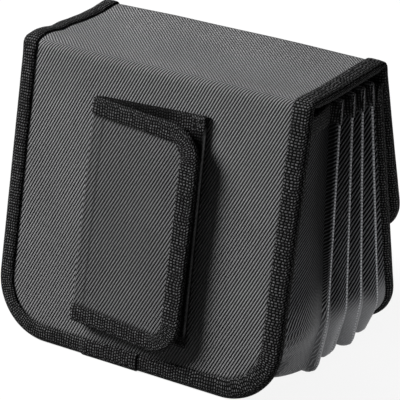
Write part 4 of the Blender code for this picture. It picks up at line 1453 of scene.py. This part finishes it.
def padGround(name, a, b, place, low, thickness, finish, nodes, body, pile=0.0):
    # a thin patch between two heights over the panel, a across and b down
    across, down = np.meshgrid(a, b)
    edge = np.minimum(np.minimum(across - a[0], a[-1] - across), np.minimum(down - b[0], b[-1] - down))
    rounded = fastener["rounding"] * thickness * (1 - smooth(0, fastener["roundOver"], edge))
    uneven = np.random.default_rng(7).uniform(-1, 1, across.shape)
    rough = pile * uneven * smooth(0, fastener["pileFrom"], edge)
    top = place(across, down, low + thickness - rounded + rough)
    base = place(across, down, low + 0 * across)
    piece = closedCloth(name, top, base, np.stack([across, down], -1), finish)
    wear(piece, nodes, body=body)


def hookField(name, a, b, place, ground, face, body):
    # rows of hooks that stand on the ground and face down and up the panel by turns
    margin = fastener["hookMargin"]
    hooksAcross = padSpan(a[0] + margin, a[-1] - margin, fastener["hookPitch"])
    hooksDown = padSpan(b[0] + margin, b[-1] - margin, fastener["hookRow"])
    across, down = (grid.ravel() for grid in np.meshgrid(hooksAcross, hooksDown))
    spots = place(across, down, ground + 0 * across)
    ahead = place(across, down + probe * np.where(np.arange(across.size) % 2, 1, -1), ground + 0 * across)
    above = place(across, down, ground + face * probe + 0 * across)
    inputs = {
        "Hook Height": fastener["hookHeight"] - fastener["ground"], "Hook Radius": fastener["hookRadius"],
        "Plastic": hookTape,
    }
    ways, outs = unitWays(ahead - spots), unitWays(above - spots)
    piece = instanced(name, spots, ways, outs, mouldedHooks, hookTape, inputs)
    wear(piece, [], body=body)


ground, lidHalf = fastener["ground"], fastener["lidWidth"] / 2
lidLow = run["flapLength"] - layers["tapeFace"] - fastener["lidEdge"]
flapLow = runEnd - layers["tapeFace"] - fastener["lidEdge"]
lidSpan = padSpan(-lidHalf, lidHalf, fastener["groundStep"])
flapSpan = padSpan(flapLow - fastener["lidHeight"], flapLow, fastener["groundStep"])
inside = -run["lid"] + layers["skin"]
padGround(
    "flapHookGround", lidSpan, flapSpan, onRun, inside - ground, ground, hookTape,
    ["flap_hook_patch"], "flap",
)
hookField("flapHooks", lidSpan, flapSpan, onRun, inside - ground, -1, "flap")
frontDrop = (run["height"] - frontTopZ) / cos(frontPanel["lean"])
frontSpan = padSpan(lidLow - frontDrop - fastener["lidHeight"], lidLow - frontDrop, fastener["pileStep"])
padGround(
    "frontLoopPad", padSpan(-lidHalf, lidHalf, fastener["pileStep"]), frontSpan, onFront,
    -layers["skin"] + layers["gap"], fastener["thickness"], loopPile, ["front_loop_patch"], "front",
    fastener["pile"],
)
margin, step = fastener["margin"], fastener["pileStep"]
innerX = padSpan(strap["foldX"] + margin, strap["edgeX"] - margin, step)
basePad = padSpan(strap["top"] + margin, strapLow - margin, step)


def onBase(x, t, h):
    # the base's side of the strap, from x on the panel
    return onStrap(strap["edgeX"] - x, t, h)


def onLeaf(x, t, h):
    return onStrap(x - strap["foldX"] + strapWide + strapTurn, t, h)


padGround(
    "strapLoopPad", innerX, basePad, onBase, strap["cloth"] / 2, fastener["thickness"], loopPile,
    ["strap_loop_patch"], "back", fastener["pile"],
)
padGround(
    "strapHookGround", padSpan(innerX[0], innerX[-1], fastener["groundStep"]),
    padSpan(basePad[0], basePad[-1], fastener["groundStep"]), onLeaf, strap["cloth"] / 2, ground,
    hookTape, ["strap_hook_patch"], "strap_leaf",
)
hookField("strapHooks", innerX, basePad, onLeaf, strap["cloth"] / 2 + ground, 1, "strap_leaf")
print("fasteners made")

# Stage, light and camera

stageLook = {"floorColour": "#5e5e5e", "floorGlow": 0.89, "worldLight": 0.02, "floorReach": 5}


def floorFinish():
    look = {"roughness": 0.9, "specular": 0.0, "sheen": 0.0}
    made, tree, shader = startFinish("matt white paper sweep", look)
    shader.inputs["Base Color"].default_value = srgb(stageLook["floorColour"])
    path = addNode(tree, "ShaderNodeLightPath").outputs
    seen = mathNode(tree, "MAXIMUM", path["Is Camera Ray"], path["Is Glossy Ray"])
    seen = mathNode(tree, "MAXIMUM", seen, path["Is Transmission Ray"])
    links = {"Color": (1, 1, 1, 1), "Strength": times(tree, seen, stageLook["floorGlow"])}
    glow = addNode(tree, "ShaderNodeEmission", links)
    both = addNode(tree, "ShaderNodeAddShader", {0: shader.outputs[0], 1: glow.outputs[0]})
    tree.links.new(both.outputs[0], tree.nodes["Material Output"].inputs["Surface"])
    return made


def makeStage():
    mesh = bpy.data.meshes.new("floor")
    reach = stageLook["floorReach"]
    corners = [(-reach, -reach, 0), (reach, -reach, 0), (reach, reach, 0), (-reach, reach, 0)]
    mesh.from_pydata(corners, [], [(0, 1, 2, 3)])
    mesh.materials.append(floorFinish())
    floor = bpy.data.objects.new("floor", mesh)
    bpy.context.scene.collection.objects.link(floor)
    world = bpy.data.worlds.new("studio")
    bpy.context.scene.world = world
    world.use_nodes = True
    tree = world.node_tree
    path = addNode(tree, "ShaderNodeLightPath").outputs
    seen = mathNode(tree, "MAXIMUM", path["Is Camera Ray"], path["Is Transmission Ray"])
    strength = ranged(tree, seen, 0.0, 1.0, stageLook["worldLight"], 1.0)
    back = tree.nodes["Background"]
    back.inputs["Color"].default_value = (1, 1, 1, 1)
    tree.links.new(strength, back.inputs["Strength"])


lamps = {       # way from the case, distance, diameter and power of each soft lamp
    "key": ((-0.76, -0.39, 0.60), 2.6, 1.1, 136),
    "top fill": ((0.10, 0.16, 0.97), 1.4, 0.6, 1.2),
    "side glow": ((0.85, 0.10, 0.30), 1.6, 0.5, 1.2),
    "low glow": ((0.184, 0.035, -0.045), 0.193, 0.07, 0.046),
    "front fill": ((-0.82, 0.57, 0.03), 1.8, 0.6, 11),
}


def softLight(name, way, distance, size, power):
    data = bpy.data.lights.new(name, "AREA")
    data.shape = "DISK"
    data.size = size
    data.energy = power
    lamp = bpy.data.objects.new(name, data)
    way = Vector(way).normalized()
    place = Vector((0, 0, run["height"] / 2)) + way * distance
    lamp.matrix_world = Matrix.Translation(place) @ way.to_track_quat("Z", "Y").to_matrix().to_4x4()
    lamp.visible_camera = False
    bpy.context.scene.collection.objects.link(lamp)


camera = {
    "lens": 219.39, "sensor": 36.0, "distance": 1.2969, "target": (0.00618, -0.00912, 0.07935),
    "azimuth": radians(32.251), "elevation": radians(22.532), "roll": radians(1.454),
}


def makeCamera():
    data = bpy.data.cameras.new("camera")
    data.lens = camera["lens"]
    data.sensor_width = camera["sensor"]
    az, el = camera["azimuth"], camera["elevation"]
    back = Vector((sin(az) * cos(el), -cos(az) * cos(el), sin(el)))
    right = Vector((cos(az), sin(az), 0))
    up = back.cross(right)
    turned, leaned = cos(camera["roll"]), sin(camera["roll"])
    side, high = turned * right + leaned * up, -leaned * right + turned * up
    made = bpy.data.objects.new("camera", data)
    turn = Matrix((side, high, back)).transposed().to_4x4()
    made.matrix_world = Matrix.Translation(Vector(camera["target"]) + back * camera["distance"]) @ turn
    bpy.context.scene.collection.objects.link(made)
    bpy.context.scene.camera = made


makeStage()
for name, settings in lamps.items():
    softLight(name, *settings)
makeCamera()
bpy.context.scene.view_settings.view_transform = "Standard"

for name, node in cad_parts.items():
    if name.endswith("stiffener"):
        for part in node.material_slots:
            part.material = foam
print("stage and camera made")
